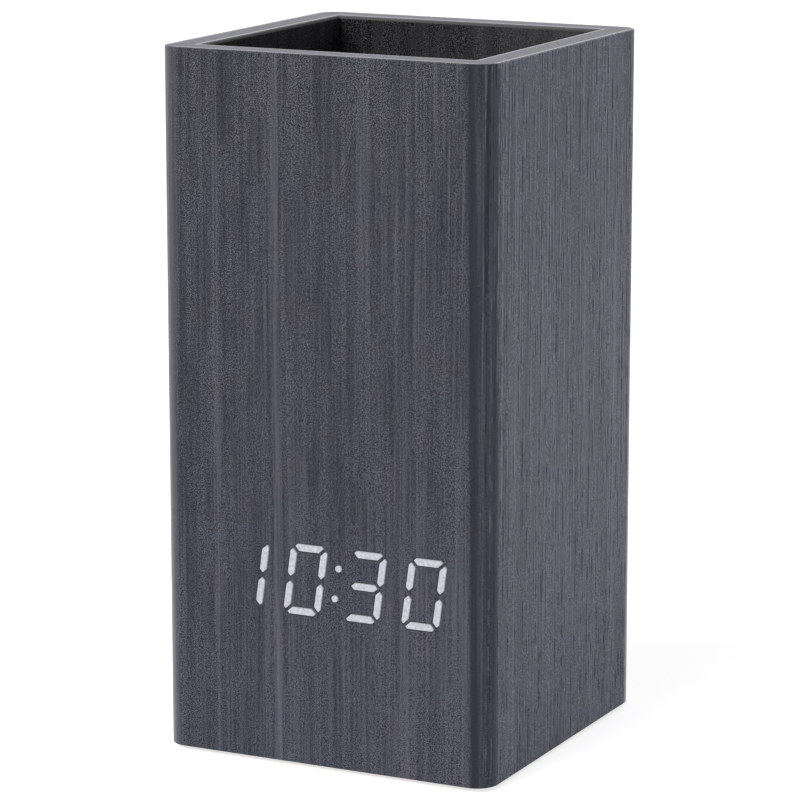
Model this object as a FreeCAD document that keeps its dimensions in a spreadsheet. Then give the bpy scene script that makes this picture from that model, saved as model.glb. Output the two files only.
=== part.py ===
"""A tall square desk clock with a pen cup, as a parametric FreeCAD document in millimetres.

Four mitred boards make a square tube with a wood-grain skin. The upper part is an open pen cup.
The lower part holds a four-figure LED display behind the front board, and a moulded rear plate
with three buttons, a power socket and a battery bay with a hinged door.

Frame: +Z up, the front faces -Y, +X is to the right of someone who looks at the front. The origin
is on the table, under the middle of the case.
"""
import FreeCAD, Part

import math
import os
import re

import Sketcher

V = FreeCAD.Vector
doc = FreeCAD.newDocument("PenCupClock")

# ---------------------------------------------------------------------------------------------
# Driving dimensions, one sheet row each: name, millimetres (or degrees), what it is
# ---------------------------------------------------------------------------------------------
SIZES = [
    # the case
    ("case_side", 80, "outer width and depth of the case"),
    ("overall_height", 158, "table to rim"),
    ("foot_lift", 1.0, "gap between the table and the lower edge of the boards"),
    ("corner_round", 5, "radius of the upright outer corners, over the skin"),
    ("wrap_thickness", 0.4, "wood-grain skin on the outside"),
    ("board_thickness", 6, "fibreboard wall"),
    ("lining_thickness", 0.4, "lining inside the pen cup"),
    ("rim_thickness", 0.8, "edging that caps the boards"),
    ("rim_inner_bevel", 0.3, "bevel on the cup side of the rim"),
    ("skin_bevel", 0.2, "bevel on the upper edge of the skin"),
    ("cup_depth", 98, "rim to cup floor"),
    ("cup_floor_thickness", 3, "board under the pen cup"),
    ("cup_floor_play", 0.1, "gap round the cup floor"),
    ("seam_width", 0.1, "butt seam of the skin, up the middle of the back"),
    # posts, base and feet
    ("post_side", 6, "square corner post"),
    ("post_depth_place", 26.6, "post centre, front or back of the middle"),
    ("base_thickness", 3, "base plate"),
    ("base_lift", 1.5, "underside of the base plate above the table"),
    ("base_play", 0.2, "gap round the base plate"),
    ("base_screw_radius", 1.2, "wood screw, shank"),
    ("base_screw_head", 2.3, "wood screw, countersunk head radius"),
    ("base_screw_length", 13, "wood screw, head to tip"),
    ("base_screw_tip", 2, "wood screw, its pointed end"),
    ("base_screw_point", 0.3, "wood screw, radius at the very end"),
    ("foot_radius", 6, "rubber foot"),
    ("foot_bevel", 0.4, "bevel at the lower edge of a foot"),
    ("foot_place", 23, "foot centre from the middle, both ways"),
    # the figures
    ("display_middle", 3.0, "middle of the four figures, right of the middle of the face"),
    ("display_level", 42.85, "middle of the figures above the table"),
    ("figure_width", 9, "one figure, outer width before the slant"),
    ("figure_height", 15.9, "one figure, outer height"),
    ("figure_pitch", 14.4, "figure to figure"),
    ("figure_slant", 7.9, "lean to the right, degrees"),
    ("stroke", 1.55, "width of a lit bar"),
    ("corner_gap", 0.57, "from a figure's outer corner to the start of a bar"),
    ("tip_cut", 1.0, "how far a bar's outer tip is cut back"),
    ("middle_gap", 0.57, "from mid height to the tip of an upright bar"),
    ("colon_radius", 0.75, "colon dot"),
    ("colon_rise", 3.4, "colon dot above or below mid height"),
    ("colon_shift", 0.43, "colon, right of the middle of the figures"),
    ("window_play", 0.2, "gap in the skin round each lit bar and dot"),
    # the display
    ("mask_width", 57, "black block that holds the light guides"),
    ("mask_height", 21, "black block that holds the light guides"),
    ("guide_gap", 1.2, "space for the LED chips behind the light guides"),
    ("chip_length", 1.6, "LED chip"),
    ("chip_width", 0.8, "LED chip"),
    ("chip_height", 0.6, "LED chip"),
    ("circuit_thickness", 1.6, "circuit boards"),
    ("display_board_width", 64, "display board"),
    ("display_board_height", 31, "display board"),
    ("display_board_level", 41.2, "middle of the display board above the table"),
    ("display_screw_place", 29, "screw from the middle, left and right"),
    ("display_screw_rise", 14, "screw above or below the middle of the board"),
    ("small_screw_radius", 1.0, "pan-head screw, shank"),
    ("small_screw_head", 1.75, "pan-head screw, head radius"),
    ("small_screw_head_height", 1.1, "pan-head screw, head height"),
    ("small_screw_length", 4.5, "pan-head screw, under the head"),
    ("plate_screw_length", 3.5, "screw of the rear plate, under the head"),
    ("screw_play", 0.03, "gap round a screw's shank"),
    ("pilot_spare", 0.3, "a blind hole is this much deeper than its screw"),
    ("recess_width", 0.5, "cross recess in a screw head"),
    ("recess_depth", 0.5, "cross recess in a screw head"),
    # on the back of the display board
    ("controller_side", 10, "controller chip"),
    ("controller_height", 1.8, "controller chip, without its lift"),
    ("controller_lift", 0.2, "gap between the controller chip and the board"),
    ("controller_place", 6, "controller chip, right of the middle"),
    ("controller_level", 34, "controller chip above the table"),
    ("leg_width", 0.4, "leg of the controller chip"),
    ("leg_pitch", 1.0, "leg to leg"),
    ("leg_reach", 1.2, "leg out of the chip's side"),
    ("crystal_radius", 1.4, "timing crystal can"),
    ("crystal_length", 7, "timing crystal can"),
    ("crystal_lift", 0.1, "gap between the timing crystal and the board"),
    ("crystal_level", 43, "timing crystal above the table"),
    ("coin_cell_radius", 10, "backup cell"),
    ("coin_cell_height", 3.2, "backup cell"),
    ("coin_lid_height", 0.5, "backup cell, its smaller face"),
    ("coin_lid_inset", 1.2, "backup cell, its smaller face inside the rim"),
    ("coin_holder_wall", 1.1, "wall of the backup cell's holder"),
    ("coin_holder_floor", 1.0, "floor of the backup cell's holder"),
    ("coin_cell_place", 15, "backup cell, left of the middle"),
    ("coin_play", 0.1, "gap round the backup cell"),
    ("finger_slot", 7, "slot in the holder's wall that lets the cell out"),
    ("buzzer_radius", 6, "alarm buzzer"),
    ("buzzer_height", 8.5, "alarm buzzer"),
    ("buzzer_hole", 1.0, "radius of the buzzer's sound hole"),
    ("buzzer_hole_depth", 2, "depth of the buzzer's sound hole"),
    ("buzzer_place", 21, "buzzer, right of the middle"),
    ("buzzer_level", 35, "buzzer above the table"),
    # the ribbon between the two boards
    ("ribbon_width", 8, "flat cable"),
    ("ribbon_thickness", 0.9, "flat cable"),
    ("ribbon_place", 6, "flat cable, right of the middle"),
    ("socket_width", 10.4, "ribbon socket"),
    ("socket_height", 4.6, "ribbon socket"),
    ("socket_depth", 5.5, "ribbon socket"),
    ("socket_slot_depth", 3, "slot in a ribbon socket"),
    ("socket_slot_play", 0.15, "gap round the ribbon in its slot"),
    ("ribbon_seat", 0.3, "gap between the ribbon's end and the slot's floor"),
    ("front_socket_level", 51, "ribbon socket on the display board, above the table"),
    ("ribbon_sag_level", 37, "lowest run of the flat cable"),
    # the rear plate
    ("plate_width", 64, "moulded rear plate"),
    ("plate_height", 48, "moulded rear plate"),
    ("plate_level", 6, "lower edge of the rear plate above the table"),
    ("plate_corner", 3, "corner radius of the rear plate"),
    ("plate_thickness", 2.2, "moulded rear plate"),
    ("plate_recess", 1.0, "rear plate below the outer face of the back"),
    ("plate_play", 0.1, "gap round the rear plate"),
    ("side_ledge", 5, "ledge that the plate is screwed to, each side"),
    ("end_ledge", 1.7, "ledge above and below"),
    ("plate_screw_place", 29.6, "screw from the middle, left and right"),
    ("plate_screw_edge", 4.5, "screw from the plate's upper or lower edge"),
    ("counterbore_radius", 1.95, "counterbore for a screw head"),
    ("counterbore_depth", 1.3, "counterbore for a screw head"),
    # the battery bay and its door
    ("bay_width", 50, "inside the battery bay"),
    ("bay_level", 9, "lowest point inside the battery bay"),
    ("bay_height", 32.8, "inside the battery bay"),
    ("bay_floor_place", 25.6, "bottom of the bay, behind the middle of the case"),
    ("bay_wall", 1.2, "wall of the battery bay"),
    ("doorway_step", 0.4, "doorway wider than the bay, each side"),
    ("doorway_drop", 0.2, "doorway's lower edge below the bay"),
    ("door_gap", 0.3, "gap round the door"),
    ("door_thickness", 1.6, "battery door"),
    ("barrel_radius", 1.0, "rounded lower edge of the door"),
    ("barrel_gap", 0.4, "gap under the rounded edge"),
    ("hinge_pin_radius", 0.6, "moulded pin at each end of the barrel"),
    ("hinge_pin_length", 1.6, "moulded pin at each end of the barrel"),
    ("hinge_play", 0.06, "gap round a hinge pin"),
    ("hinge_end_gap", 0.3, "gap past the end of a hinge pin"),
    ("tongue_width", 8, "snap tongue inside the door's upper edge"),
    ("tongue_reach", 2.5, "snap tongue, into the bay"),
    ("tongue_thickness", 1.0, "snap tongue"),
    ("tongue_drop", 0.4, "snap tongue below the bay's upper wall"),
    ("grip_width", 14, "grip rib on the door"),
    ("grip_height", 0.35, "grip rib, out of the door"),
    ("grip_thickness", 0.7, "grip rib"),
    ("grip_pitch", 1.6, "rib to rib"),
    ("grip_edge", 2.2, "top rib from the door's upper edge"),
    ("nail_notch_width", 10, "fingernail notch above the door"),
    ("nail_notch_height", 1.3, "fingernail notch above the door"),
    ("nail_notch_depth", 0.9, "fingernail notch above the door"),
    # cells and contacts
    ("cell_radius", 5.25, "AAA cell"),
    ("cell_length", 44.5, "AAA cell, with its terminal"),
    ("cell_nub_radius", 1.9, "AAA cell, positive terminal"),
    ("cell_nub_length", 1.0, "AAA cell, positive terminal"),
    ("cell_pitch", 10.8, "cell to cell"),
    ("cell_place", 31.2, "cell axis, behind the middle of the case"),
    ("lowest_cell_level", 14.6, "axis of the lowest cell above the table"),
    ("contact_thickness", 0.4, "contact plate"),
    ("contact_side", 9, "contact plate at one cell"),
    ("contact_gap", 0.05, "gap between a cell and its contact"),
    ("leaf_width", 5, "spring leaf, along its fold"),
    ("leaf_flat", 1.2, "flat top of the spring leaf"),
    ("leaf_half", 4.2, "spring leaf, from the cell's axis to an end"),
    ("leaf_free_gap", 1.1, "spring leaf's free end in front of its contact plate"),
    ("tab_width", 3, "solder tab"),
    ("tab_reach", 2.8, "solder tab, from the inside of the bay"),
    ("tab_root", 1.0, "solder tab's overlap with its contact plate"),
    ("tab_play", 0.15, "gap round a solder tab"),
    ("lead_radius", 0.6, "battery lead"),
    ("lead_landing", 19.5, "battery lead on the switch board, from the middle"),
    ("lead_landing_level", 46.2, "battery lead on the switch board, above the table"),
    # buttons and the switch board
    ("button_level", 48.6, "middle of the button row above the table"),
    ("button_pitch", 9.5, "button to button"),
    ("first_button", 17, "set button, from the middle towards -X"),
    ("button_radius", 3, "button head"),
    ("button_play", 0.15, "gap round a button head"),
    ("button_proud", 0.7, "button head, out of the rear plate"),
    ("button_round", 0.4, "rounded edge of a button head"),
    ("button_flange", 3.6, "flange that keeps a button in"),
    ("flange_thickness", 1.0, "flange that keeps a button in"),
    ("flange_gap", 0.1, "gap between flange and rear plate"),
    ("button_stem", 1.5, "stem behind the flange"),
    ("mark_depth", 0.2, "sign sunk into a button"),
    ("mark_radius", 1.25, "sign sunk into a button"),
    ("mark_inner", 0.75, "inside of the ring, and foot of the triangles below the middle"),
    ("switch_side", 6, "tact switch"),
    ("switch_height", 3.5, "tact switch, without its plunger"),
    ("switch_total", 5, "tact switch, with its plunger"),
    ("plunger_radius", 1.75, "tact switch plunger"),
    ("plunger_play", 0.06, "gap round the plunger"),
    ("plunger_depth", 0.9, "plunger inside the switch"),
    ("switch_well", 1.5, "well inside the switch"),
    ("switch_board_place", 30, "face of the switch board, behind the middle"),
    ("switch_board_width", 52, "switch board"),
    ("switch_board_height", 8.2, "switch board"),
    ("switch_board_level", 48.1, "middle of the switch board above the table"),
    ("boss_radius", 2, "boss that carries the switch board"),
    ("boss_place", 24, "boss from the middle, left and right"),
    # socket, microphone and temperature sensor
    ("power_place", 16.2, "power socket, from the middle towards +X"),
    ("power_width", 8.94, "power socket, outside"),
    ("power_height", 3.26, "power socket, outside"),
    ("power_wall", 0.3, "sheet metal of the power socket"),
    ("power_depth", 8.4, "power socket, from the switch board"),
    ("power_slot_play", 0.35, "gap round the power socket in the rear plate"),
    ("tongue_plate_width", 6.6, "contact tongue in the power socket"),
    ("tongue_plate_height", 0.7, "contact tongue in the power socket"),
    ("tongue_plate_short", 1.6, "tongue's tip, inside the socket's mouth"),
    ("power_block_depth", 2.0, "block at the back of the power socket"),
    ("microphone_place", 9.3, "microphone, from the middle towards +X"),
    ("microphone_radius", 2, "microphone can"),
    ("microphone_height", 2.4, "microphone can"),
    ("sound_hole", 0.6, "sound hole radius"),
    ("sound_hole_depth", 0.5, "sound hole in the microphone can"),
    ("sensor_radius", 1.2, "temperature sensor bead"),
    ("sensor_wire", 0.25, "temperature sensor legs, radius"),
    ("sensor_spread", 0.7, "temperature sensor leg from its middle"),
    ("sensor_stand", 3.2, "bead's middle behind the switch board"),
    ("sensor_place", 12.5, "temperature sensor, from the middle towards -X"),
]

sheet = doc.addObject("Spreadsheet::Sheet", "Sizes")
for row, (alias, millimetres, meaning) in enumerate(SIZES, start=1):
    sheet.set(f"A{row}", meaning)
    sheet.set(f"B{row}", str(millimetres))
    sheet.setAlias(f"B{row}", alias)
doc.recompute()
ALIASES = {alias for alias, _, _ in SIZES}


def bound(text):
    """An expression on the sheet: every driving dimension in the text gets the sheet's name."""
    return re.sub(r"[a-z]\w*", lambda m: f"Sizes.{m[0]}" if m[0] in ALIASES else m[0], str(text))


def value(text):
    """The number that an expression has now."""
    return float(sheet.evalExpression(bound(text)))


# Places that several pieces share, as expressions
BOARD_HALF = "(case_side / 2 - wrap_thickness)"
ROOM_HALF = "(case_side / 2 - wrap_thickness - board_thickness)"
CUP_HALF = "(case_side / 2 - wrap_thickness - board_thickness - lining_thickness)"
BOARD_TOP = "(overall_height - rim_thickness)"
CUP_FLOOR = "(overall_height - cup_depth)"
POST_TOP = "(overall_height - cup_depth - cup_floor_thickness)"
BASE_TOP = "(base_lift + base_thickness)"
PLATE_FACE = "(case_side / 2 - plate_recess)"
PLATE_BACK = "(case_side / 2 - plate_recess - plate_thickness)"
PLATE_TOP = "(plate_level + plate_height)"
BAY_TOP = "(bay_level + bay_height)"
CIRCUIT_REAR = "(case_side / 2 - wrap_thickness - board_thickness - circuit_thickness)"
SWITCH_REAR = "(switch_board_place - circuit_thickness)"
HINGE_PLACE = "(case_side / 2 - plate_recess - barrel_radius)"
HINGE_LEVEL = "(bay_level - doorway_drop + barrel_gap + barrel_radius)"
DOORWAY_LOW = "(bay_level - doorway_drop)"
DOORWAY_HIGH = "(bay_level + bay_height + bay_wall + door_gap)"
DOORWAY_HALF = "(bay_width / 2 + doorway_step)"
FLANGE_FRONT = "(case_side / 2 - plate_recess - plate_thickness - flange_gap)"

PAST = 1           # how far a cutting tool runs past what it cuts
SAME = 1e-4        # lengths closer than this are equal
MITRED = 2         # FreeCAD's number for an offset with pointed corners
RECESS_SHARE = 0.65  # share of a screw head's width that its cross recess takes
ARC_SHARE = 0.45   # share of a cable's shorter run that the arc at its end takes

# ---------------------------------------------------------------------------------------------
# Part primitives and booleans
# ---------------------------------------------------------------------------------------------
TURNS = {
    "+X": FreeCAD.Rotation(V(0, 1, 0), 90),
    "-X": FreeCAD.Rotation(V(0, 1, 0), -90),
    "+Y": FreeCAD.Rotation(V(1, 0, 0), -90),
    "-Y": FreeCAD.Rotation(V(1, 0, 0), 90),
    "+Z": FreeCAD.Rotation(),
    "-Z": FreeCAD.Rotation(V(1, 0, 0), 180),
}
nodes = []


def node(piece):
    """Marks an object as a sub-part that is written to a file of its own."""
    nodes.append(piece)
    return piece


def place(piece, at, towards="+Z"):
    """Puts an object's own origin at three expressions, with its own +Z along a main axis."""
    piece.Placement = FreeCAD.Placement(V(), TURNS[towards])
    for axis, text in zip("xyz", at):
        piece.setExpression(f"Placement.Base.{axis}", bound(text))
    return piece


def box(label, low, size):
    """A box from its lowest corner and its three sides."""
    piece = doc.addObject("Part::Box", label)
    for side, text in zip(("Length", "Width", "Height"), size):
        piece.setExpression(side, bound(text))
    return place(piece, low)


def rod(label, radius, length, at, towards="+Z"):
    """A cylinder that starts at a point and runs along a main axis."""
    piece = doc.addObject("Part::Cylinder", label)
    piece.setExpression("Radius", bound(radius))
    piece.setExpression("Height", bound(length))
    return place(piece, at, towards)


def cone(label, first_radius, last_radius, length, at, towards="+Z"):
    """A cone that starts at a point and runs along a main axis."""
    piece = doc.addObject("Part::Cone", label)
    piece.setExpression("Radius1", bound(first_radius))
    piece.setExpression("Radius2", bound(last_radius))
    piece.setExpression("Height", bound(length))
    return place(piece, at, towards)


def cut(label, base, tool):
    """One object with the space of another taken out."""
    piece = doc.addObject("Part::Cut", label)
    piece.Base = base
    piece.Tool = tool
    return piece


def fuse(label, pieces):
    """Several objects joined into one solid."""
    piece = doc.addObject("Part::MultiFuse", label)
    piece.Shapes = pieces
    piece.Refine = True
    return piece


def group(label, pieces):
    """Several separate solids kept under one name."""
    piece = doc.addObject("Part::Compound", label)
    piece.Links = pieces
    return piece


def shaped(label, shape):
    """An object whose shape is worked out here from the sheet's sizes."""
    piece = doc.addObject("Part::Feature", label)
    piece.Shape = shape
    piece.Placement = FreeCAD.Placement()
    return piece


# ---------------------------------------------------------------------------------------------
# PartDesign bodies
# ---------------------------------------------------------------------------------------------
pockets = []


def body_of(label):
    """An empty PartDesign body."""
    return doc.addObject("PartDesign::Body", label)


def sketch_on(body, role, offset="0"):
    """A sketch on one of a body's own origin planes, moved along the plane's normal.

    The normals are +Z for XY_Plane, -Y for XZ_Plane and +X for YZ_Plane.
    """
    sketch = body.newObject("Sketcher::SketchObject", f"{body.Name}_sketch")
    plane = next(item for item in body.Origin.OriginFeatures if item.Role == role)
    sketch.AttachmentSupport = [(plane, "")]
    sketch.MapMode = "FlatFace"
    sketch.setExpression("AttachmentOffset.Base.z", bound(offset))
    return sketch


def bind(sketch, kind, *ends, text):
    """A sketch constraint whose size is an expression."""
    number = sketch.addConstraint(Sketcher.Constraint(kind, *ends, value(text)))
    sketch.setExpression(f"Constraints[{number}]", bound(text))


def arc_between(start, end, radius):
    """The short arc from start to end that bulges to the right of the way it goes."""
    chord = end - start
    left = V(-chord.y, chord.x, 0).normalize()
    centre = (start + end) / 2 + left * math.sqrt(radius ** 2 - (chord.Length / 2) ** 2)
    middle = centre - left * radius
    return Part.Arc(start, middle, end)


def outline(sketch, corners, arcs=None):
    """A closed outline, anticlockwise, through corners given as pairs of expressions.

    arcs gives a radius for each edge that is round, by the number of the corner it starts at.
    """
    arcs = arcs or {}
    count = len(corners)
    points = [V(value(x), value(y), 0) for x, y in corners]
    edges = []
    for i, point in enumerate(points):
        following = points[(i + 1) % count]
        if i in arcs:
            shape = arc_between(point, following, value(arcs[i]))
        else:
            shape = Part.LineSegment(point, following)
        edges.append(sketch.addGeometry(shape, False))
    for i, edge in enumerate(edges):
        sketch.addConstraint(Sketcher.Constraint("Coincident", edge, 2, edges[(i + 1) % count], 1))
    for edge, (x, y) in zip(edges, corners):
        bind(sketch, "DistanceX", -1, 1, edge, 1, text=x)
        bind(sketch, "DistanceY", -1, 1, edge, 1, text=y)
    for i, radius in arcs.items():
        bind(sketch, "Radius", edges[i], text=radius)


def rectangle(sketch, left, low, right, high):
    """A rectangle between two corners."""
    outline(sketch, [(left, low), (right, low), (right, high), (left, high)])


def round_rectangle(sketch, left, low, right, high, radius):
    """A rectangle whose corners are quarter circles."""
    corners = [
        (f"{left} + {radius}", low), (f"{right} - {radius}", low),
        (right, f"{low} + {radius}"), (right, f"{high} - {radius}"),
        (f"{right} - {radius}", high), (f"{left} + {radius}", high),
        (left, f"{high} - {radius}"), (left, f"{low} + {radius}"),
    ]
    outline(sketch, corners, {1: radius, 3: radius, 5: radius, 7: radius})


def square(sketch, half):
    """A square round the sketch's origin."""
    rectangle(sketch, f"-{half}", f"-{half}", half, half)


def circle(sketch, x, y, radius):
    """A circle round a point."""
    edge = sketch.addGeometry(Part.Circle(V(value(x), value(y), 0), V(0, 0, 1), value(radius)))
    bind(sketch, "DistanceX", -1, 1, edge, 3, text=x)
    bind(sketch, "DistanceY", -1, 1, edge, 3, text=y)
    bind(sketch, "Radius", edge, text=radius)


def pad(body, sketch, length, reverse=False):
    """Material from a sketch, along its normal unless reversed."""
    feature = body.newObject("PartDesign::Pad", f"{body.Name}_pad")
    feature.Profile = sketch
    feature.setExpression("Length", bound(length))
    feature.Reversed = reverse
    sketch.Visibility = False
    doc.recompute()
    return feature


def pocket(body, sketch, depth=None, reverse=False):
    """A cut from a sketch, against its normal unless reversed, or both ways right through."""
    feature = body.newObject("PartDesign::Pocket", f"{body.Name}_pocket")
    feature.Profile = sketch
    if depth is None:
        feature.Type = "ThroughAll"
        feature.SideType = "Symmetric"
    else:
        feature.setExpression("Length", bound(depth))
    feature.Reversed = reverse
    sketch.Visibility = False
    doc.recompute()
    pockets.append(feature)
    return feature


def soften(body, kind, size, choose):
    """A fillet or chamfer on the edges of the body's shape that choose() picks."""
    base = body.Tip
    names = [f"Edge{i}" for i, edge in enumerate(base.Shape.Edges, start=1) if choose(edge)]
    feature = body.newObject(f"PartDesign::{kind}", f"{body.Name}_{kind.lower()}")
    feature.Base = (base, names)
    feature.setExpression("Radius" if kind == "Fillet" else "Size", bound(size))
    doc.recompute()
    return feature


def flat_at(edge, axis, level):
    """Whether an edge lies in the plane where an axis has this value."""
    box_of = edge.BoundBox
    low = getattr(box_of, f"{axis}Min")
    high = getattr(box_of, f"{axis}Max")
    return abs(low - level) < SAME and abs(high - level) < SAME


# ---------------------------------------------------------------------------------------------
# The case: four mitred boards, skin, rim, lining
# ---------------------------------------------------------------------------------------------
QUARTER_TURN = 90
ALL_CORNERS = [(x, y) for y in (-1, 1) for x in (-1, 1)]


def wall_board(label, turns):
    """One wall, drawn at the front and turned about the middle of the case.

    Both ends are mitred, and the outer corner of each mitre carries half of the rounding.
    """
    board = body_of(label)
    half, room = BOARD_HALF, ROOM_HALF
    corner = "(corner_round - wrap_thickness)"
    shoulder = f"({half} - {corner})"
    mid_arc = f"({half} - {corner} * (1 - sqrt(0.5)))"
    sketch = sketch_on(board, "XY_Plane", "foot_lift")
    corners = [
        (f"-{shoulder}", f"-{half}"), (shoulder, f"-{half}"), (mid_arc, f"-{mid_arc}"),
        (room, f"-{room}"), (f"-{room}", f"-{room}"), (f"-{mid_arc}", f"-{mid_arc}"),
    ]
    outline(sketch, corners, {1: corner, 5: corner})
    pad(board, sketch, f"{BOARD_TOP} - foot_lift")
    board.Placement = FreeCAD.Placement(V(), FreeCAD.Rotation(V(0, 0, 1), QUARTER_TURN * turns))
    return node(board)


def display_window(board):
    """The opening for the segment mask, and pilot holes for the display board's screws."""
    sketch = sketch_on(board, "XZ_Plane")
    rectangle(sketch, "display_middle - mask_width / 2", "display_level - mask_height / 2",
              "display_middle + mask_width / 2", "display_level + mask_height / 2")
    pocket(board, sketch)
    sketch = sketch_on(board, "XZ_Plane", ROOM_HALF)
    for x, z in ALL_CORNERS:
        circle(sketch, f"{x} * display_screw_place",
               f"display_board_level + {z} * display_screw_rise",
               "small_screw_radius + screw_play")
    pocket(board, sketch, "small_screw_length - circuit_thickness + pilot_spare", reverse=True)


def plate_rebate(board):
    """The stepped opening that takes the rear plate, with pilot holes in its ledge."""
    sketch = sketch_on(board, "XZ_Plane", BOARD_HALF)
    round_rectangle(sketch, "-plate_width / 2 - plate_play", "plate_level - plate_play",
                    "plate_width / 2 + plate_play", f"{PLATE_TOP} + plate_play", "plate_corner")
    pocket(board, sketch, f"{BOARD_HALF} - {PLATE_BACK}")
    sketch = sketch_on(board, "XZ_Plane")
    rectangle(sketch, "-plate_width / 2 + side_ledge", "plate_level + end_ledge",
              "plate_width / 2 - side_ledge", f"{PLATE_TOP} - end_ledge")
    pocket(board, sketch)
    sketch = sketch_on(board, "XZ_Plane")
    for x, z in plate_screw_places():
        circle(sketch, x, z, "small_screw_radius + screw_play")
    pocket(board, sketch)


def plate_screw_places():
    """The four screws of the rear plate, as pairs of expressions."""
    levels = ("plate_level + plate_screw_edge", f"{PLATE_TOP} - plate_screw_edge")
    return [(f"{side} * plate_screw_place", level) for level in levels for side in (-1, 1)]


def wood_grain_wrap():
    """The printed skin: one sheet round all four boards, butted up the middle of the back.

    It covers the rim's outer edge, and is open at the rear plate and round each lit bar.
    """
    skin = body_of("wrap_sheet")
    sketch = sketch_on(skin, "XY_Plane", "foot_lift")
    side = "case_side / 2"
    round_rectangle(sketch, f"-{side}", f"-{side}", side, side, "corner_round")
    half = BOARD_HALF
    round_rectangle(sketch, f"-{half}", f"-{half}", half, half, "(corner_round - wrap_thickness)")
    pad(skin, sketch, "overall_height - foot_lift")
    top, outermost = value("overall_height"), value("case_side / 2") - SAME

    def on_outer_top(edge):
        span = edge.BoundBox
        reach = max(span.XMax, span.YMax, -span.XMin, -span.YMin)
        return flat_at(edge, "Z", top) and reach > outermost

    soften(skin, "Chamfer", "skin_bevel", on_outer_top)
    sketch = sketch_on(skin, "XZ_Plane")
    round_rectangle(sketch, "-plate_width / 2 - plate_play", "plate_level - plate_play",
                    "plate_width / 2 + plate_play", f"{PLATE_TOP} + plate_play", "plate_corner")
    pocket(skin, sketch, "case_side")
    sketch = sketch_on(skin, "XZ_Plane")
    rectangle(sketch, "-seam_width / 2", "0", "seam_width / 2", "overall_height")
    pocket(skin, sketch, "case_side")
    return node(cut("wood_grain_wrap", skin, skin_windows()))


def rim_edging():
    """The flat edging on top of the boards, inside the skin, bevelled a little to the cup."""
    rim = body_of("rim_edging")
    sketch = sketch_on(rim, "XY_Plane", BOARD_TOP)
    half = BOARD_HALF
    round_rectangle(sketch, f"-{half}", f"-{half}", half, half, "(corner_round - wrap_thickness)")
    square(sketch, CUP_HALF)
    pad(rim, sketch, "rim_thickness")
    top, mid_wall = value("overall_height"), value(f"({BOARD_HALF} + {CUP_HALF}) / 2")

    def on_inner_top(edge):
        middle = edge.CenterOfMass
        return flat_at(edge, "Z", top) and max(abs(middle.x), abs(middle.y)) < mid_wall

    soften(rim, "Chamfer", "rim_inner_bevel", on_inner_top)
    return node(rim)


def cup_lining():
    """The thin lining of the pen cup, standing on its floor."""
    lining = body_of("cup_lining")
    sketch = sketch_on(lining, "XY_Plane", CUP_FLOOR)
    square(sketch, ROOM_HALF)
    square(sketch, CUP_HALF)
    pad(lining, sketch, f"{BOARD_TOP} - {CUP_FLOOR}")
    return node(lining)


# ---------------------------------------------------------------------------------------------
# Floor, posts, base, feet
# ---------------------------------------------------------------------------------------------
def centred_box(label, middle, size):
    """A box from the middle of its lowest face and its three sides."""
    x, y, z = middle
    return box(label, (f"{x} - ({size[0]}) / 2", f"{y} - ({size[1]}) / 2", z), size)


def cup_floor():
    """The board that closes the pen cup and roofs the works."""
    side = f"2 * ({ROOM_HALF} - cup_floor_play)"
    return node(centred_box("cup_floor", ("0", "0", POST_TOP), (side, side, "cup_floor_thickness")))


def corner_post(label, x, y):
    """A glued post that carries the cup floor and takes a base screw."""
    middle = (f"{x} * ({ROOM_HALF} - post_side / 2)", f"{y} * post_depth_place")
    blank = centred_box(f"{label}_blank", (*middle, BASE_TOP),
                        ("post_side", "post_side", f"{POST_TOP} - {BASE_TOP}"))
    pilot = rod(f"{label}_pilot", "base_screw_radius + screw_play",
                "base_screw_length - base_thickness + pilot_spare", (*middle, BASE_TOP))
    return node(cut(label, blank, pilot))


def base_plate():
    """The plate under the works, with four countersunk screw holes."""
    plate = body_of("base_plate")
    sketch = sketch_on(plate, "XY_Plane", "base_lift")
    square(sketch, f"({ROOM_HALF} - base_play)")
    for x, y in ALL_CORNERS:
        circle(sketch, f"{x} * ({ROOM_HALF} - post_side / 2)", f"{y} * post_depth_place",
               "base_screw_radius + screw_play")
    pad(plate, sketch, "base_thickness")
    underside = value("base_lift")
    soften(plate, "Chamfer", "base_screw_head - base_screw_radius",
           lambda edge: flat_at(edge, "Z", underside) and isinstance(edge.Curve, Part.Circle))
    return node(plate)


def cross_recess(label, head_radius, at, towards):
    """Two crossed slots to take out of a screw head: at is the middle of the head's face.

    A box's own +Y ends up along -Z when it is turned towards +Y, along +Z towards -Y, and
    stays put towards +Z.
    """
    reach = f"({RECESS_SHARE} * 2 * ({head_radius}))"
    across, back = {"+Y": (2, "+"), "-Y": (2, "-"), "+Z": (1, "-")}[towards]
    bars = []
    for length, width in ((reach, "recess_width"), ("recess_width", reach)):
        corner = list(at)
        corner[0] += f" - {length} / 2"
        corner[across] += f" {back} {width} / 2"
        bar = box(f"{label}_bar", ("0", "0", "0"), (length, width, "recess_depth"))
        bars.append(place(bar, corner, towards))
    return fuse(f"{label}_recess", bars)


def base_screw(label, x, y):
    """A countersunk wood screw, from the underside up."""
    at = (f"{x} * ({ROOM_HALF} - post_side / 2)", f"{y} * post_depth_place", "base_lift")
    flare = "base_screw_head - base_screw_radius"
    head = cone(f"{label}_head", "base_screw_head - screw_play", "base_screw_radius", flare, at)
    straight = "(base_screw_length - base_screw_tip)"
    shank = rod(f"{label}_shank", "base_screw_radius", straight, at)
    tip = cone(f"{label}_tip", "base_screw_radius", "base_screw_point", "base_screw_tip",
               (at[0], at[1], f"base_lift + {straight}"))
    whole = fuse(f"{label}_whole", [head, shank, tip])
    return cut(label, whole, cross_recess(label, "base_screw_head", at, "+Z"))


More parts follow.
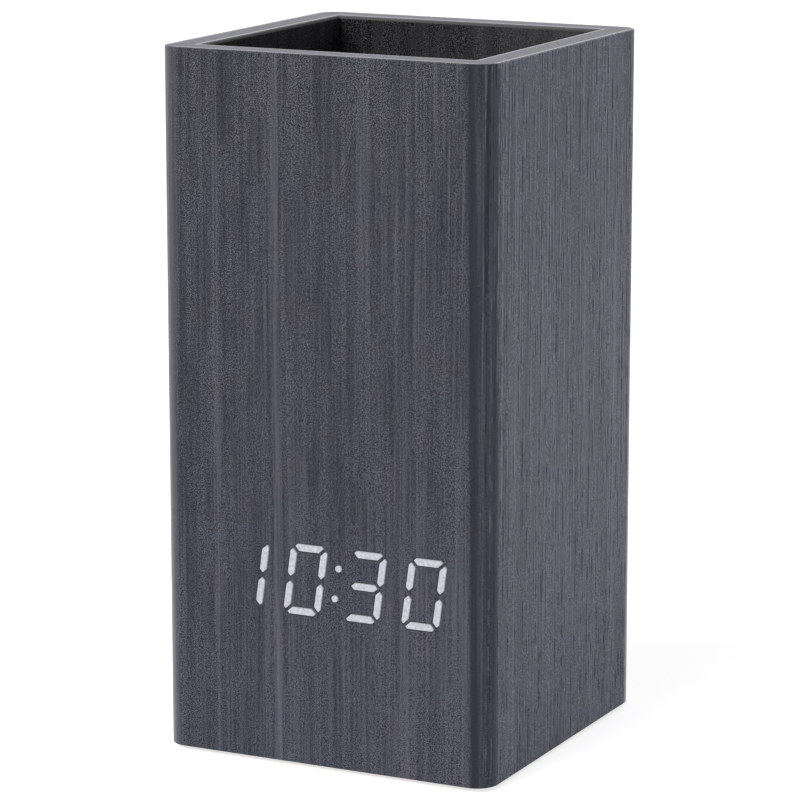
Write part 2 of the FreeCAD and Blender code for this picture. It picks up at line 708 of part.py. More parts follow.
def pan_screw(label, at, towards, length="small_screw_length"):
    """A pan-head screw: at is the seat of its head, and its shank runs the way it is driven."""
    back = {"+": "-", "-": "+"}[towards[0]]
    x, y, z = at
    outer = (x, f"{y} {back} small_screw_head_height", z)
    head = rod(f"{label}_head", "small_screw_head", "small_screw_head_height", outer, towards)
    shank = rod(f"{label}_shank", "small_screw_radius", length, at, towards)
    whole = fuse(f"{label}_whole", [head, shank])
    return cut(label, whole, cross_recess(label, "small_screw_head", outer, towards))


def rubber_foot(label, x, y):
    """A round pad with a bevelled lower edge."""
    middle = (f"{x} * foot_place", f"{y} * foot_place")
    bevel = cone(f"{label}_bevel", "foot_radius - foot_bevel", "foot_radius", "foot_bevel",
                 (*middle, "0"))
    pad_of = rod(f"{label}_pad", "foot_radius", "base_lift - foot_bevel", (*middle, "foot_bevel"))
    return fuse(label, [bevel, pad_of])


# ---------------------------------------------------------------------------------------------
# The figures: seven bars each, as prisms that run from front to back
# ---------------------------------------------------------------------------------------------
BARS_OF = {"0": "abcdef", "1": "bc", "3": "abcdg"}
TIME_SHOWN = ("1", "0", "3", "0")
FIGURE_NAMES = ("hour_tens", "hour_units", "minute_tens", "minute_units")


def bar_outlines():
    """The seven bars of one upright figure, from its lower left corner."""
    width, height, stroke = value("figure_width"), value("figure_height"), value("stroke")
    gap, tip, middle_gap = value("corner_gap"), value("tip_cut"), value("middle_gap")
    middle = height / 2
    end = stroke / 2 + middle_gap
    top = [
        (gap + tip, height), (width - gap - tip, height),
        (width - gap - tip / 2, height - tip / 2), (width - gap - stroke, height - stroke),
        (gap + stroke, height - stroke), (gap + tip / 2, height - tip / 2),
    ]
    upper_left = [
        (0, height - gap - tip), (tip / 2, height - gap - tip / 2),
        (stroke, height - gap - stroke), (stroke, middle + end),
        (stroke / 2, middle + middle_gap), (0, middle + end),
    ]
    centre = [
        (end, middle), (end + stroke / 2, middle + stroke / 2),
        (width - end - stroke / 2, middle + stroke / 2), (width - end, middle),
        (width - end - stroke / 2, middle - stroke / 2), (end + stroke / 2, middle - stroke / 2),
    ]

    def mirrored(points, sideways, upside_down):
        return [(width - x if sideways else x, height - z if upside_down else z) for x, z in points]

    return {
        "a": top, "b": mirrored(upper_left, True, False), "c": mirrored(upper_left, True, True),
        "d": mirrored(top, False, True), "e": mirrored(upper_left, False, True),
        "f": upper_left, "g": centre,
    }


def place_in_row(points, position):
    """Points of one figure, slanted about mid height and put at its place in the row of four."""
    lean = math.tan(math.radians(value("figure_slant")))
    width, height = value("figure_width"), value("figure_height")
    start = value("display_middle") + (position - 1.5) * value("figure_pitch") - width / 2
    low = value("display_level") - height / 2
    return [(start + x + lean * (z - height / 2), low + z) for x, z in points]


def prism(points, front, back, play=0):
    """A solid with this outline as seen from the front, or a wider one, between two depths."""
    corners = [V(x, front, z) for x, z in points]
    outline = Part.makePolygon(corners + corners[:1])
    if play:
        outline = outline.makeOffset2D(play, join=MITRED)
    return Part.Face(outline).extrude(V(0, back - front, 0))


def colon_places():
    """The middles of the two dots, on the slant of the figures."""
    lean = math.tan(math.radians(value("figure_slant")))
    x, z = value("display_middle + colon_shift"), value("display_level")
    rise = value("colon_rise")
    return [(x + lean * way * rise, z + way * rise) for way in (1, -1)]


def dots(front, back, radius):
    """The two colon dots between two depths."""
    return [Part.makeCylinder(radius, back - front, V(x, front, z), V(0, 1, 0))
            for x, z in colon_places()]


def figure_guides():
    """Light guides: lit bars reach the face of the skin, unlit ones stop behind it."""
    face = -value("case_side / 2")
    board_face = -value(BOARD_HALF)
    guide_end = -value(f"{ROOM_HALF} + guide_gap")
    outlines = bar_outlines()
    unlit = []
    for position, (digit, name) in enumerate(zip(TIME_SHOWN, FIGURE_NAMES)):
        bars = {bar: place_in_row(points, position) for bar, points in outlines.items()}
        shown = [prism(bars[bar], face, guide_end) for bar in BARS_OF[digit]]
        node(shaped(f"{name}_segments", Part.makeCompound(shown)))
        unlit += [prism(points, board_face, guide_end)
                  for bar, points in bars.items() if bar not in BARS_OF[digit]]
    node(shaped("colon_dots", Part.makeCompound(dots(face, guide_end, value("colon_radius")))))
    node(shaped("unlit_segments", Part.makeCompound(unlit)))


def skin_windows():
    """The openings in the skin, one round each lit bar and dot."""
    front, back, play = -value("case_side / 2"), -value(BOARD_HALF), value("window_play")
    openings = dots(front, back, value("colon_radius") + play)
    outlines = bar_outlines()
    for position, digit in enumerate(TIME_SHOWN):
        openings += [prism(place_in_row(outlines[bar], position), front, back, play)
                     for bar in BARS_OF[digit]]
    return shaped("skin_windows", Part.makeCompound(openings))


def segment_mask():
    """The black block in the front board, with a slot right through it for every bar and dot."""
    depth = "board_thickness"
    block = box("mask_block", ("display_middle - mask_width / 2", f"-{BOARD_HALF}",
                               "display_level - mask_height / 2"),
                ("mask_width", depth, "mask_height"))
    front, back = -value(BOARD_HALF), -value(ROOM_HALF)
    slots = dots(front, back, value("colon_radius"))
    for position in range(len(TIME_SHOWN)):
        slots += [prism(place_in_row(points, position), front, back)
                  for points in bar_outlines().values()]
    return node(cut("segment_mask", block, shaped("mask_slots", Part.makeCompound(slots))))


def led_chips():
    """One chip on the display board behind each bar and dot, along the bar."""
    length, width, height = value("chip_length"), value("chip_width"), value("chip_height")
    board = -value(ROOM_HALF)
    lean = value("figure_slant")
    chips = []

    def chip(x, z, turn):
        solid = Part.makeBox(length, height, width, V(-length / 2, 0, -width / 2))
        solid.rotate(V(), V(0, 1, 0), -turn)
        solid.translate(V(x, board - height, z))
        chips.append(solid)

    for position in range(len(TIME_SHOWN)):
        for bar, points in bar_outlines().items():
            row = place_in_row(points, position)
            x = sum(point[0] for point in row) / len(row)
            z = sum(point[1] for point in row) / len(row)
            chip(x, z, 0 if bar in "adg" else 90 - lean)
    dot_chip = value("colon_radius")
    for x, z in colon_places():
        solid = Part.makeBox(dot_chip, height, dot_chip, V(x - dot_chip / 2, board - height,
                                                           z - dot_chip / 2))
        chips.append(solid)
    return node(shaped("led_chips", Part.makeCompound(chips)))


# ---------------------------------------------------------------------------------------------
# The display board and what it carries
# ---------------------------------------------------------------------------------------------
def display_board():
    """The circuit board behind the mask, screwed to the inside of the front board."""
    board = body_of("display_board")
    sketch = sketch_on(board, "XZ_Plane", ROOM_HALF)
    half_height = "display_board_height / 2"
    rectangle(sketch, "-display_board_width / 2", f"display_board_level - {half_height}",
              "display_board_width / 2", f"display_board_level + {half_height}")
    for x, z in ALL_CORNERS:
        circle(sketch, f"{x} * display_screw_place",
               f"display_board_level + {z} * display_screw_rise",
               "small_screw_radius + screw_play")
    pad(board, sketch, "circuit_thickness", reverse=True)
    return node(board)


def display_screws():
    """Four pan-head screws that hold the display board."""
    screws = []
    for i, (x, z) in enumerate(ALL_CORNERS, start=1):
        at = (f"{x} * display_screw_place", f"-{CIRCUIT_REAR}",
              f"display_board_level + {z} * display_screw_rise")
        screws.append(pan_screw(f"display_screw_{i}", at, "-Y"))
    return node(group("display_screws", screws))


def controller_chip():
    """The square controller, with a row of legs on each side."""
    side = "controller_side"
    low = ("controller_place - controller_side / 2", f"-{CIRCUIT_REAR} + controller_lift",
           "controller_level - controller_side / 2")
    pieces = [box("controller_body", low, (side, "controller_height", side))]
    reach = "controller_side + 2 * leg_reach"
    legs_a_side = 8
    for i in range(legs_a_side):
        shift = f"{i - (legs_a_side - 1) / 2} * leg_pitch - leg_width / 2"
        pieces.append(box(f"controller_leg_across_{i}",
                          (f"controller_place - ({reach}) / 2", f"-{CIRCUIT_REAR}",
                           f"controller_level + {shift}"),
                          (reach, "leg_width", "leg_width")))
        pieces.append(box(f"controller_leg_up_{i}",
                          (f"controller_place + {shift}", f"-{CIRCUIT_REAR}",
                           f"controller_level - ({reach}) / 2"),
                          ("leg_width", "leg_width", reach)))
    return node(fuse("controller_chip", pieces))


def coin_cell_and_holder():
    """The backup cell, lying in a round holder with a slot to push it out through."""
    at = ("-coin_cell_place", f"-{CIRCUIT_REAR}", "display_board_level")
    outer = "coin_cell_radius + coin_play + coin_holder_wall"
    tall = "coin_holder_floor + coin_cell_height"
    bowl = rod("coin_holder_blank", outer, tall, at, "+Y")
    seat = (at[0], f"{at[1]} + coin_holder_floor", at[2])
    deep = f"coin_cell_height + {PAST}"
    well = rod("coin_holder_well", "coin_cell_radius + coin_play", deep, seat, "+Y")
    slot = box("coin_holder_slot", (f"{at[0]} - finger_slot / 2", seat[1], at[2]),
               ("finger_slot", deep, f"{outer} + {PAST}"))
    node(cut("coin_cell_holder", bowl, fuse("coin_holder_space", [well, slot])))
    can = rod("coin_cell_can", "coin_cell_radius", "coin_cell_height - coin_lid_height",
              (seat[0], f"{seat[1]} + coin_lid_height", seat[2]), "+Y")
    lid = rod("coin_cell_lid", "coin_cell_radius - coin_lid_inset", "coin_lid_height", seat, "+Y")
    return node(fuse("coin_cell", [can, lid]))


def buzzer():
    """The alarm buzzer, with its sound hole."""
    at = ("buzzer_place", f"-{CIRCUIT_REAR}", "buzzer_level")
    can = rod("buzzer_can", "buzzer_radius", "buzzer_height", at, "+Y")
    hole = rod("buzzer_sound_hole", "buzzer_hole", "buzzer_hole_depth",
               (at[0], f"{at[1]} + buzzer_height - buzzer_hole_depth", at[2]), "+Y")
    return node(cut("buzzer", can, hole))


def ribbon_socket(label, board_face, way, level):
    """A socket on a board, with a slot for the ribbon: way is 1 if it stands towards +Y."""
    mouth = f"{board_face} + {way} * socket_depth"
    low = {1: board_face, -1: f"{board_face} - socket_depth"}[way]
    block = box(f"{label}_block", ("ribbon_place - socket_width / 2", low,
                                   f"{level} - socket_height / 2"),
                ("socket_width", "socket_depth", "socket_height"))
    slot_low = {1: f"{mouth} - socket_slot_depth", -1: mouth}[way]
    across = "ribbon_width + 2 * socket_slot_play"
    tall = "ribbon_thickness + 2 * socket_slot_play"
    slot = box(f"{label}_slot", (f"ribbon_place - ({across}) / 2", slot_low,
                                 f"{level} - ({tall}) / 2"),
               (across, "socket_slot_depth", tall))
    return node(cut(label, block, slot))


def routed(label, points):
    """A path of straight runs joined by tangent arcs, each as large as its two runs allow."""
    edges = []
    radii = []
    start = points[0]
    for before, corner, after in zip(points, points[1:], points[2:]):
        way_in, way_out = corner - before, after - corner
        shorter = min(way_in.Length, way_out.Length)
        half_turn = way_in.getAngle(way_out) / 2
        trim = ARC_SHARE * shorter
        radius = trim / math.tan(half_turn)
        radii.append(round(radius, 1))
        way_in.normalize()
        way_out.normalize()
        first, last = corner - way_in * trim, corner + way_out * trim
        inward = (way_out - way_in).normalize()
        middle = corner + inward * (radius / math.cos(half_turn) - radius)
        edges.append(Part.LineSegment(start, first).toShape())
        edges.append(Part.Arc(first, middle, last).toShape())
        start = last
    edges.append(Part.LineSegment(start, points[-1]).toShape())
    print(f"{label}: arc radii {radii} mm")
    return Part.Wire(edges)


def swept(label, section, points):
    """A section swept along a path, with its volume compared with section times length."""
    path = routed(label, points)
    solid = path.makePipeShell([section], True, False)
    expected = Part.Face(section).Area * path.Length
    assert abs(solid.Volume / expected - 1) < 0.02, label
    return node(shaped(label, solid))


def ribbon_cable():
    """The flat cable between the boards: out of one socket, down in a slack bow, into the other."""
    x = value("ribbon_place")
    start = V(x, value(f"-{CIRCUIT_REAR} + socket_depth - socket_slot_depth + ribbon_seat"),
              value("front_socket_level"))
    end = V(x, value(f"{SWITCH_REAR} - socket_depth + socket_slot_depth - ribbon_seat"),
            value("switch_board_level"))
    sag = value("ribbon_sag_level")
    bow = [V(x, -19, start.z), V(x, -9, sag), V(x, 5.5, sag), V(x, 14.5, end.z)]
    half, thick = value("ribbon_width") / 2, value("ribbon_thickness") / 2
    corners = [start + V(i * half, 0, j * thick) for i, j in ((-1, -1), (1, -1), (1, 1), (-1, 1))]
    return swept("ribbon_cable", Part.makePolygon(corners + corners[:1]), [start, *bow, end])


# ---------------------------------------------------------------------------------------------
# The rear plate with its battery bay
# ---------------------------------------------------------------------------------------------
BUTTONS = ("set_button", "up_button", "down_button")


def button_x(number):
    """Where a button is, as an expression."""
    return f"(-first_button + {number} * button_pitch)"


def rear_plate():
    """The moulding in the back: a plate with the battery bay and two bosses behind it."""
    plate = body_of("rear_plate")
    half = "plate_width / 2"
    sketch = sketch_on(plate, "XZ_Plane", f"-{PLATE_FACE}")
    round_rectangle(sketch, f"-{half}", "plate_level", half, PLATE_TOP, "plate_corner")
    pad(plate, sketch, "plate_thickness")
    sketch = sketch_on(plate, "XZ_Plane", f"-{PLATE_BACK}")
    bay_half = "(bay_width / 2 + bay_wall)"
    rectangle(sketch, f"-{bay_half}", "bay_level - bay_wall", bay_half, f"{BAY_TOP} + bay_wall")
    pad(plate, sketch, f"{PLATE_BACK} - bay_floor_place + bay_wall")
    sketch = sketch_on(plate, "XZ_Plane", f"-{PLATE_BACK}")
    for side in (-1, 1):
        circle(sketch, f"{side} * boss_place", "switch_board_level", "boss_radius")
    pad(plate, sketch, f"{PLATE_BACK} - switch_board_place")
    # the doorway, then the bay behind it
    sketch = sketch_on(plate, "XZ_Plane", f"-{PLATE_FACE}")
    rectangle(sketch, f"-{DOORWAY_HALF}", DOORWAY_LOW, DOORWAY_HALF, DOORWAY_HIGH)
    pocket(plate, sketch, "plate_thickness", reverse=True)
    sketch = sketch_on(plate, "XZ_Plane", f"-{PLATE_BACK}")
    rectangle(sketch, "-bay_width / 2", "bay_level", "bay_width / 2", BAY_TOP)
    pocket(plate, sketch, f"{PLATE_BACK} - bay_floor_place", reverse=True)
    # holes for buttons, power socket, microphone and screws
    sketch = sketch_on(plate, "XZ_Plane", f"-{PLATE_FACE}")
    for number in range(len(BUTTONS)):
        circle(sketch, button_x(number), "button_level", "button_radius + button_play")
    circle(sketch, "microphone_place", "button_level", "sound_hole")
    obround(sketch, "power_place", "button_level", "power_width + 2 * power_slot_play",
            "power_height + 2 * power_slot_play")
    for x, z in plate_screw_places():
        circle(sketch, x, z, "small_screw_radius + screw_play")
    pocket(plate, sketch, "plate_thickness", reverse=True)
    sketch = sketch_on(plate, "XZ_Plane", f"-{PLATE_FACE}")
    for x, z in plate_screw_places():
        circle(sketch, x, z, "counterbore_radius")
    pocket(plate, sketch, "counterbore_depth", reverse=True)
    sketch = sketch_on(plate, "XZ_Plane", f"-{PLATE_FACE}")
    rectangle(sketch, "-nail_notch_width / 2", DOORWAY_HIGH, "nail_notch_width / 2",
              f"{DOORWAY_HIGH} + nail_notch_height")
    pocket(plate, sketch, "nail_notch_depth", reverse=True)
    # pilot holes in the bosses, and slots in the bay's floor for the two solder tabs
    sketch = sketch_on(plate, "XZ_Plane", "-switch_board_place")
    for side in (-1, 1):
        circle(sketch, f"{side} * boss_place", "switch_board_level",
               "small_screw_radius + screw_play")
    pocket(plate, sketch, "small_screw_length - circuit_thickness + pilot_spare")
    sketch = sketch_on(plate, "XZ_Plane", "-bay_floor_place")
    for side, cell in ((-1, 0), (1, 2)):
        inner = "(bay_width / 2 - contact_thickness - tab_play)"
        ends = sorted((f"{side} * {inner}", f"{side} * (bay_width / 2)"), key=value)
        level = cell_level(cell)
        rectangle(sketch, ends[0], f"{level} - tab_width / 2 - tab_play",
                  ends[1], f"{level} + tab_width / 2 + tab_play")
    pocket(plate, sketch, "bay_wall", reverse=True)
    # sockets for the door's hinge pins, in the two sides of the doorway
    sketch = sketch_on(plate, "YZ_Plane")
    circle(sketch, HINGE_PLACE, HINGE_LEVEL, "hinge_pin_radius + hinge_play")
    reach = f"({DOORWAY_HALF} - door_gap + hinge_pin_length + hinge_end_gap)"
    hinge = pocket(plate, sketch, f"2 * {reach}")
    hinge.SideType = "Symmetric"
    doc.recompute()
    return node(plate)


def obround(sketch, x, y, width, height):
    """A slot with round ends about a point."""
    radius = f"(({height}) / 2)"
    run = f"((({width}) - ({height})) / 2)"
    corners = [
        (f"{x} - {run}", f"{y} - {radius}"), (f"{x} + {run}", f"{y} - {radius}"),
        (f"{x} + {run} + {radius}", y), (f"{x} + {run}", f"{y} + {radius}"),
        (f"{x} - {run}", f"{y} + {radius}"), (f"{x} - {run} - {radius}", y),
    ]
    outline(sketch, corners, {1: radius, 2: radius, 4: radius, 5: radius})


def rear_plate_screws():
    """Four pan-head screws in the counterbores of the rear plate."""
    screws = []
    for i, (x, z) in enumerate(plate_screw_places(), start=1):
        at = (x, f"{PLATE_FACE} - counterbore_depth", z)
        screws.append(pan_screw(f"rear_plate_screw_{i}", at, "-Y", "plate_screw_length"))
    return node(group("rear_plate_screws", screws))


def battery_door():
    """The door: a flat cover with a rounded lower edge, two pins, a snap tongue and grip ribs."""
    half = f"({DOORWAY_HALF} - door_gap)"
    high = f"({DOORWAY_HIGH} - door_gap)"
    cover = box("door_cover", (f"-{half}", f"{PLATE_FACE} - door_thickness", HINGE_LEVEL),
                (f"2 * {half}", "door_thickness", f"{high} - {HINGE_LEVEL}"))
    barrel = rod("door_barrel", "barrel_radius", f"2 * {half}",
                 (f"-{half}", HINGE_PLACE, HINGE_LEVEL), "+X")
    pins = rod("door_pins", "hinge_pin_radius", f"2 * ({half} + hinge_pin_length)",
               (f"-({half} + hinge_pin_length)", HINGE_PLACE, HINGE_LEVEL), "+X")
    tongue = box("door_tongue", ("-tongue_width / 2",
                                 f"{PLATE_FACE} - door_thickness - tongue_reach",
                                 f"{BAY_TOP} - tongue_drop - tongue_thickness"),
                 ("tongue_width", "tongue_reach", "tongue_thickness"))
    pieces = [cover, barrel, pins, tongue]
    rib_count = 4
    for i in range(rib_count):
        pieces.append(box(f"door_grip_{i}", ("-grip_width / 2", PLATE_FACE,
                                             f"{high} - grip_edge - {i} * grip_pitch"),
                          ("grip_width", "grip_height", "grip_thickness")))
    return node(fuse("battery_door", pieces))


# ---------------------------------------------------------------------------------------------
# Cells, contacts and leads
# ---------------------------------------------------------------------------------------------
CELL_NAMES = ("bottom_cell", "middle_cell", "top_cell")
CELL_WAYS = (1, -1, 1)
CONTACT_FACE = "(bay_width / 2 - contact_thickness)"


def cell_level(number):
    """The height of a cell's axis, as an expression."""
    return f"(lowest_cell_level + {number} * cell_pitch)"


def battery_cell(label, number, way):
    """One cell lying across the case, its positive terminal towards +X or -X."""
    along = "+X" if way == 1 else "-X"
    tip = f"{way} * ({CONTACT_FACE} - contact_gap)"
    start = f"{tip} - {way} * cell_length"
    at = (start, "cell_place", cell_level(number))
    can = rod(f"{label}_can", "cell_radius", "cell_length - cell_nub_length", at, along)
    nub = rod(f"{label}_nub", "cell_nub_radius", "cell_length", at, along)
    return node(fuse(label, [can, nub]))


def spring_leaf(label, number, side):
    """A folded leaf that presses on a cell's negative end, standing off its contact plate."""
    plate, stock = value(CONTACT_FACE), value("contact_thickness")
    cell_end = value(f"cell_length + 2 * contact_gap - {CONTACT_FACE}")
    flat, half, width = value("leaf_flat") / 2, value("leaf_half"), value("leaf_width")
    free = plate - value("leaf_free_gap")
    face = [(plate, -half), (cell_end, -flat), (cell_end, flat), (free, half)]
    rear = [(x + stock, y) for x, y in reversed(face)]
    middle, low = value("cell_place"), value(cell_level(number)) - width / 2
    corners = [V(side * x, middle + y, low) for x, y in face + rear]
    return shaped(label, Part.Face(Part.makePolygon(corners + corners[:1])).extrude(V(0, 0, width)))


def battery_contact(label, side, lowest, highest, leaf=None, tab=None):
    """A contact plate on one end wall of the bay, over one cell or bridging two."""
    low_x = {1: CONTACT_FACE, -1: "-bay_width / 2"}[side]
    low = f"{cell_level(lowest)} - contact_side / 2"
    high = f"{cell_level(highest)} + contact_side / 2"
    pieces = [box(f"{label}_plate", (low_x, "cell_place - contact_side / 2", low),
                  ("contact_thickness", "contact_side", f"{high} - ({low})"))]
    if leaf is not None:
        pieces.append(spring_leaf(f"{label}_leaf", leaf, side))
    if tab is not None:
        end = "(bay_floor_place - tab_reach)"
        length = f"cell_place - contact_side / 2 + tab_root - {end}"
        pieces.append(box(f"{label}_tab", (low_x, end, f"{cell_level(tab)} - tab_width / 2"),
                          ("contact_thickness", length, "tab_width")))
    return node(fuse(label, pieces))


def battery_lead(label, side, cell, route):
    """A wire from a solder tab, out into the case and up to the back of the switch board."""
    start = V(side * value("bay_width / 2 - contact_thickness / 2"),
              value("bay_floor_place - tab_reach"), value(cell_level(cell)))
    end = V(side * value("lead_landing"), value(SWITCH_REAR), value("lead_landing_level"))
    points = [start, *(V(side * x, y, z) for x, y, z in route), end]
    section = Part.Wire(Part.makeCircle(value("lead_radius"), start, points[1] - start))
    return swept(label, section, points)


# ---------------------------------------------------------------------------------------------
# Buttons, switches, switch board
# ---------------------------------------------------------------------------------------------
def button(label, number):
    """A round button with a keeper flange and a stem, and a sunk sign: ring, up or down."""
    cap = body_of(label)
    x = button_x(number)
    sketch = sketch_on(cap, "XZ_Plane", f"-({PLATE_FACE} + button_proud)")
    circle(sketch, x, "button_level", "button_radius")
    pad(cap, sketch, f"{PLATE_FACE} + button_proud - {FLANGE_FRONT}")
    sketch = sketch_on(cap, "XZ_Plane", f"-{FLANGE_FRONT}")
    circle(sketch, x, "button_level", "button_flange")
    pad(cap, sketch, "flange_thickness")
    sketch = sketch_on(cap, "XZ_Plane", f"-({FLANGE_FRONT} - flange_thickness)")
    circle(sketch, x, "button_level", "button_stem")
    pad(cap, sketch, f"{FLANGE_FRONT} - flange_thickness - switch_board_place - switch_total")
    face = value(f"{PLATE_FACE} + button_proud")
    soften(cap, "Fillet", "button_round", lambda edge: flat_at(edge, "Y", face))
    sketch = sketch_on(cap, "XZ_Plane", f"-({PLATE_FACE} + button_proud)")
    if label == "set_button":
        circle(sketch, x, "button_level", "mark_radius")
        circle(sketch, x, "button_level", "mark_inner")
    else:
        way = 1 if label == "up_button" else -1
        tip = (x, f"button_level + {way} * mark_radius")
        foot = f"button_level - {way} * mark_inner"
        feet = [(f"{x} - {way} * mark_radius", foot), (f"{x} + {way} * mark_radius", foot)]
        outline(sketch, [*feet, tip])
    pocket(cap, sketch, "mark_depth", reverse=True)
    return node(cap)


def tact_switch(label, number):
    """A switch body with a well, and the plunger that its button pushes."""
    x = button_x(number)
    blank = box(f"{label}_blank", (f"{x} - switch_side / 2", "switch_board_place",
                                   "button_level - switch_side / 2"),
                ("switch_side", "switch_height", "switch_side"))
    top = "switch_board_place + switch_height"
    well = rod(f"{label}_well", "plunger_radius + plunger_play", "switch_well",
               (x, f"{top} - switch_well", "button_level"), "+Y")
    node(cut(label, blank, well))
    return node(rod(f"{label}_plunger", "plunger_radius",
                    "switch_total - switch_height + plunger_depth",
                    (x, f"{top} - plunger_depth", "button_level"), "+Y"))


def switch_board():
    """The narrow circuit board on the two bosses of the rear plate."""
    board = body_of("switch_board")
    sketch = sketch_on(board, "XZ_Plane", "-switch_board_place")
    rectangle(sketch, "-switch_board_width / 2", "switch_board_level - switch_board_height / 2",
              "switch_board_width / 2", "switch_board_level + switch_board_height / 2")
    for side in (-1, 1):
        circle(sketch, f"{side} * boss_place", "switch_board_level",
               "small_screw_radius + screw_play")
    pad(board, sketch, "circuit_thickness")
    return node(board)


def switch_board_screws():
    """Two pan-head screws that hold the switch board to the bosses."""
    screws = [pan_screw(f"switch_board_screw_{name}",
                        (f"{side} * boss_place", SWITCH_REAR, "switch_board_level"), "+Y")
              for name, side in (("left", -1), ("right", 1))]
    return node(group("switch_board_screws", screws))


def power_socket():
    """The power inlet: a sheet-metal shell with round ends, and the tongue inside it."""
    shell = body_of("power_socket_shell")
    mouth = "(switch_board_place + power_depth)"
    sketch = sketch_on(shell, "XZ_Plane", f"-{mouth}")
    obround(sketch, "power_place", "button_level", "power_width", "power_height")
    obround(sketch, "power_place", "button_level", "power_width - 2 * power_wall",
            "power_height - 2 * power_wall")
    pad(shell, sketch, "power_depth")
    node(shell)
    tongue = body_of("power_socket_tongue")
    sketch = sketch_on(tongue, "XZ_Plane", "-(switch_board_place + power_block_depth)")
    obround(sketch, "power_place", "button_level", "power_width - 2 * power_wall",
            "power_height - 2 * power_wall")
    pad(tongue, sketch, "power_block_depth")
    sketch = sketch_on(tongue, "XZ_Plane", f"-({mouth} - tongue_plate_short)")
    half_width, half_height = "tongue_plate_width / 2", "tongue_plate_height / 2"
    rectangle(sketch, f"power_place - {half_width}", f"button_level - {half_height}",
              f"power_place + {half_width}", f"button_level + {half_height}")
    pad(tongue, sketch, "power_depth - tongue_plate_short - power_block_depth")
    return node(tongue)


def microphone():
    """The sound sensor behind its hole in the rear plate."""
    at = ("microphone_place", "switch_board_place", "button_level")
    can = rod("microphone_can", "microphone_radius", "microphone_height", at, "+Y")
    hole = rod("microphone_hole", "sound_hole", "sound_hole_depth",
               (at[0], f"{at[1]} + microphone_height - sound_hole_depth", at[2]), "+Y")
    return node(cut("microphone", can, hole))


def temperature_sensor():
    """A bead on two legs, standing off the back of the switch board."""
    middle = ("-sensor_place", f"{SWITCH_REAR} - sensor_stand", "switch_board_level")
    bead = doc.addObject("Part::Sphere", "sensor_bead")
    bead.setExpression("Radius", bound("sensor_radius"))
    place(bead, middle)
    legs = [rod(f"sensor_leg_{name}", "sensor_wire", "sensor_stand",
                (f"{middle[0]} + {side} * sensor_spread", middle[1], middle[2]), "+Y")
            for name, side in (("left", -1), ("right", 1))]
    return node(fuse("temperature_sensor", [bead, *legs]))


# ---------------------------------------------------------------------------------------------
# The whole clock
# ---------------------------------------------------------------------------------------------
front_panel = wall_board("front_panel", 0)
display_window(front_panel)
wall_board("right_panel", 1)
back_panel = wall_board("back_panel", 2)
plate_rebate(back_panel)
wall_board("left_panel", 3)
figure_guides()
wood_grain_wrap()
rim_edging()
cup_lining()
cup_floor()

POST_NAMES = ("front_left", "front_right", "rear_left", "rear_right")
screws, feet = [], []
for corner_name, (side_x, side_y) in zip(POST_NAMES, ALL_CORNERS):
    corner_post(f"{corner_name}_post", side_x, side_y)
    screws.append(base_screw(f"base_screw_{corner_name}", side_x, side_y))
    feet.append(rubber_foot(f"foot_{corner_name}", side_x, side_y))
base_plate()
node(group("base_screws", screws))
node(group("rubber_feet", feet))

segment_mask()
led_chips()
display_board()
display_screws()
controller_chip()
node(rod("timing_crystal", "crystal_radius", "crystal_length",
         ("controller_place - crystal_length / 2",
          f"-{CIRCUIT_REAR} + crystal_radius + crystal_lift", "crystal_level"), "+X"))
coin_cell_and_holder()
buzzer()
ribbon_socket("display_ribbon_socket", f"-{CIRCUIT_REAR}", 1, "front_socket_level")
ribbon_socket("switch_ribbon_socket", SWITCH_REAR, -1, "switch_board_level")
ribbon_cable()

rear_plate()
rear_plate_screws()
battery_door()
for cell_number, (cell_name, cell_way) in enumerate(zip(CELL_NAMES, CELL_WAYS)):
    battery_cell(cell_name, cell_number, cell_way)
battery_contact("battery_contact_negative", -1, 0, 0, leaf=0, tab=0)
battery_contact("battery_bridge_right", 1, 0, 1, leaf=1)
battery_contact("battery_bridge_left", -1, 1, 2, leaf=2)
battery_contact("battery_contact_positive", 1, 2, 2, tab=2)
battery_lead("negative_lead", -1, 0, [
    (24.8, 17.5, 14.6), (24.4, 14, 20), (23.2, 13.6, 29), (21.4, 14.2, 38), (20, 17.5, 44.2),
    (19.5, 23.5, 46.2),
])
battery_lead("positive_lead", 1, 2, [
    (24.8, 18.6, 36.2), (24, 15.6, 39.6), (22, 16.6, 44), (20, 20.8, 46), (19.5, 24.6, 46.2),
])

for button_number, button_name in enumerate(BUTTONS):
    button(button_name, button_number)
    tact_switch(button_name.replace("button", "switch"), button_number)
switch_board()
switch_board_screws()
power_socket()
microphone()
temperature_sensor()

# ---------------------------------------------------------------------------------------------
# Checks, then one file for each sub-part
# ---------------------------------------------------------------------------------------------
doc.recompute()
for item in doc.Objects:
    bad = {"Invalid", "Error"} & set(item.State)
    assert not bad, f"{item.Label}: {bad}"
for feature in pockets:
    before = feature.BaseFeature.Shape.Volume
    assert feature.Shape.Volume < before - 1e-3, f"{feature.Label} cuts nothing"
labels = [piece.Label for piece in nodes]
assert len(set(labels)) == len(labels) <= 60, len(labels)
os.makedirs("parts", exist_ok=True)
for piece in nodes:
    assert not piece.Shape.isNull() and piece.Shape.isValid(), piece.Label
    assert piece.Shape.Solids, piece.Label
for piece in nodes:
    piece.Shape.exportStep(os.path.join("parts", f"{piece.Label}.step"))
print(f"{len(nodes)} sub-parts, {sum(len(piece.Shape.Solids) for piece in nodes)} solids")
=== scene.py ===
# %% [markdown]
# # A desk clock with a pen cup, in black wood grain
#
# The solids of this clock come from a CAD program, with their final size and place. What they
# lack is a surface. In this lesson each solid gets the finish of the real thing, and the parts
# that a CAD program draws too plainly get finer pieces. All lengths are in metres, +Z is up, and
# the face with the figures looks along -Y.

# %% Load the solids
import math

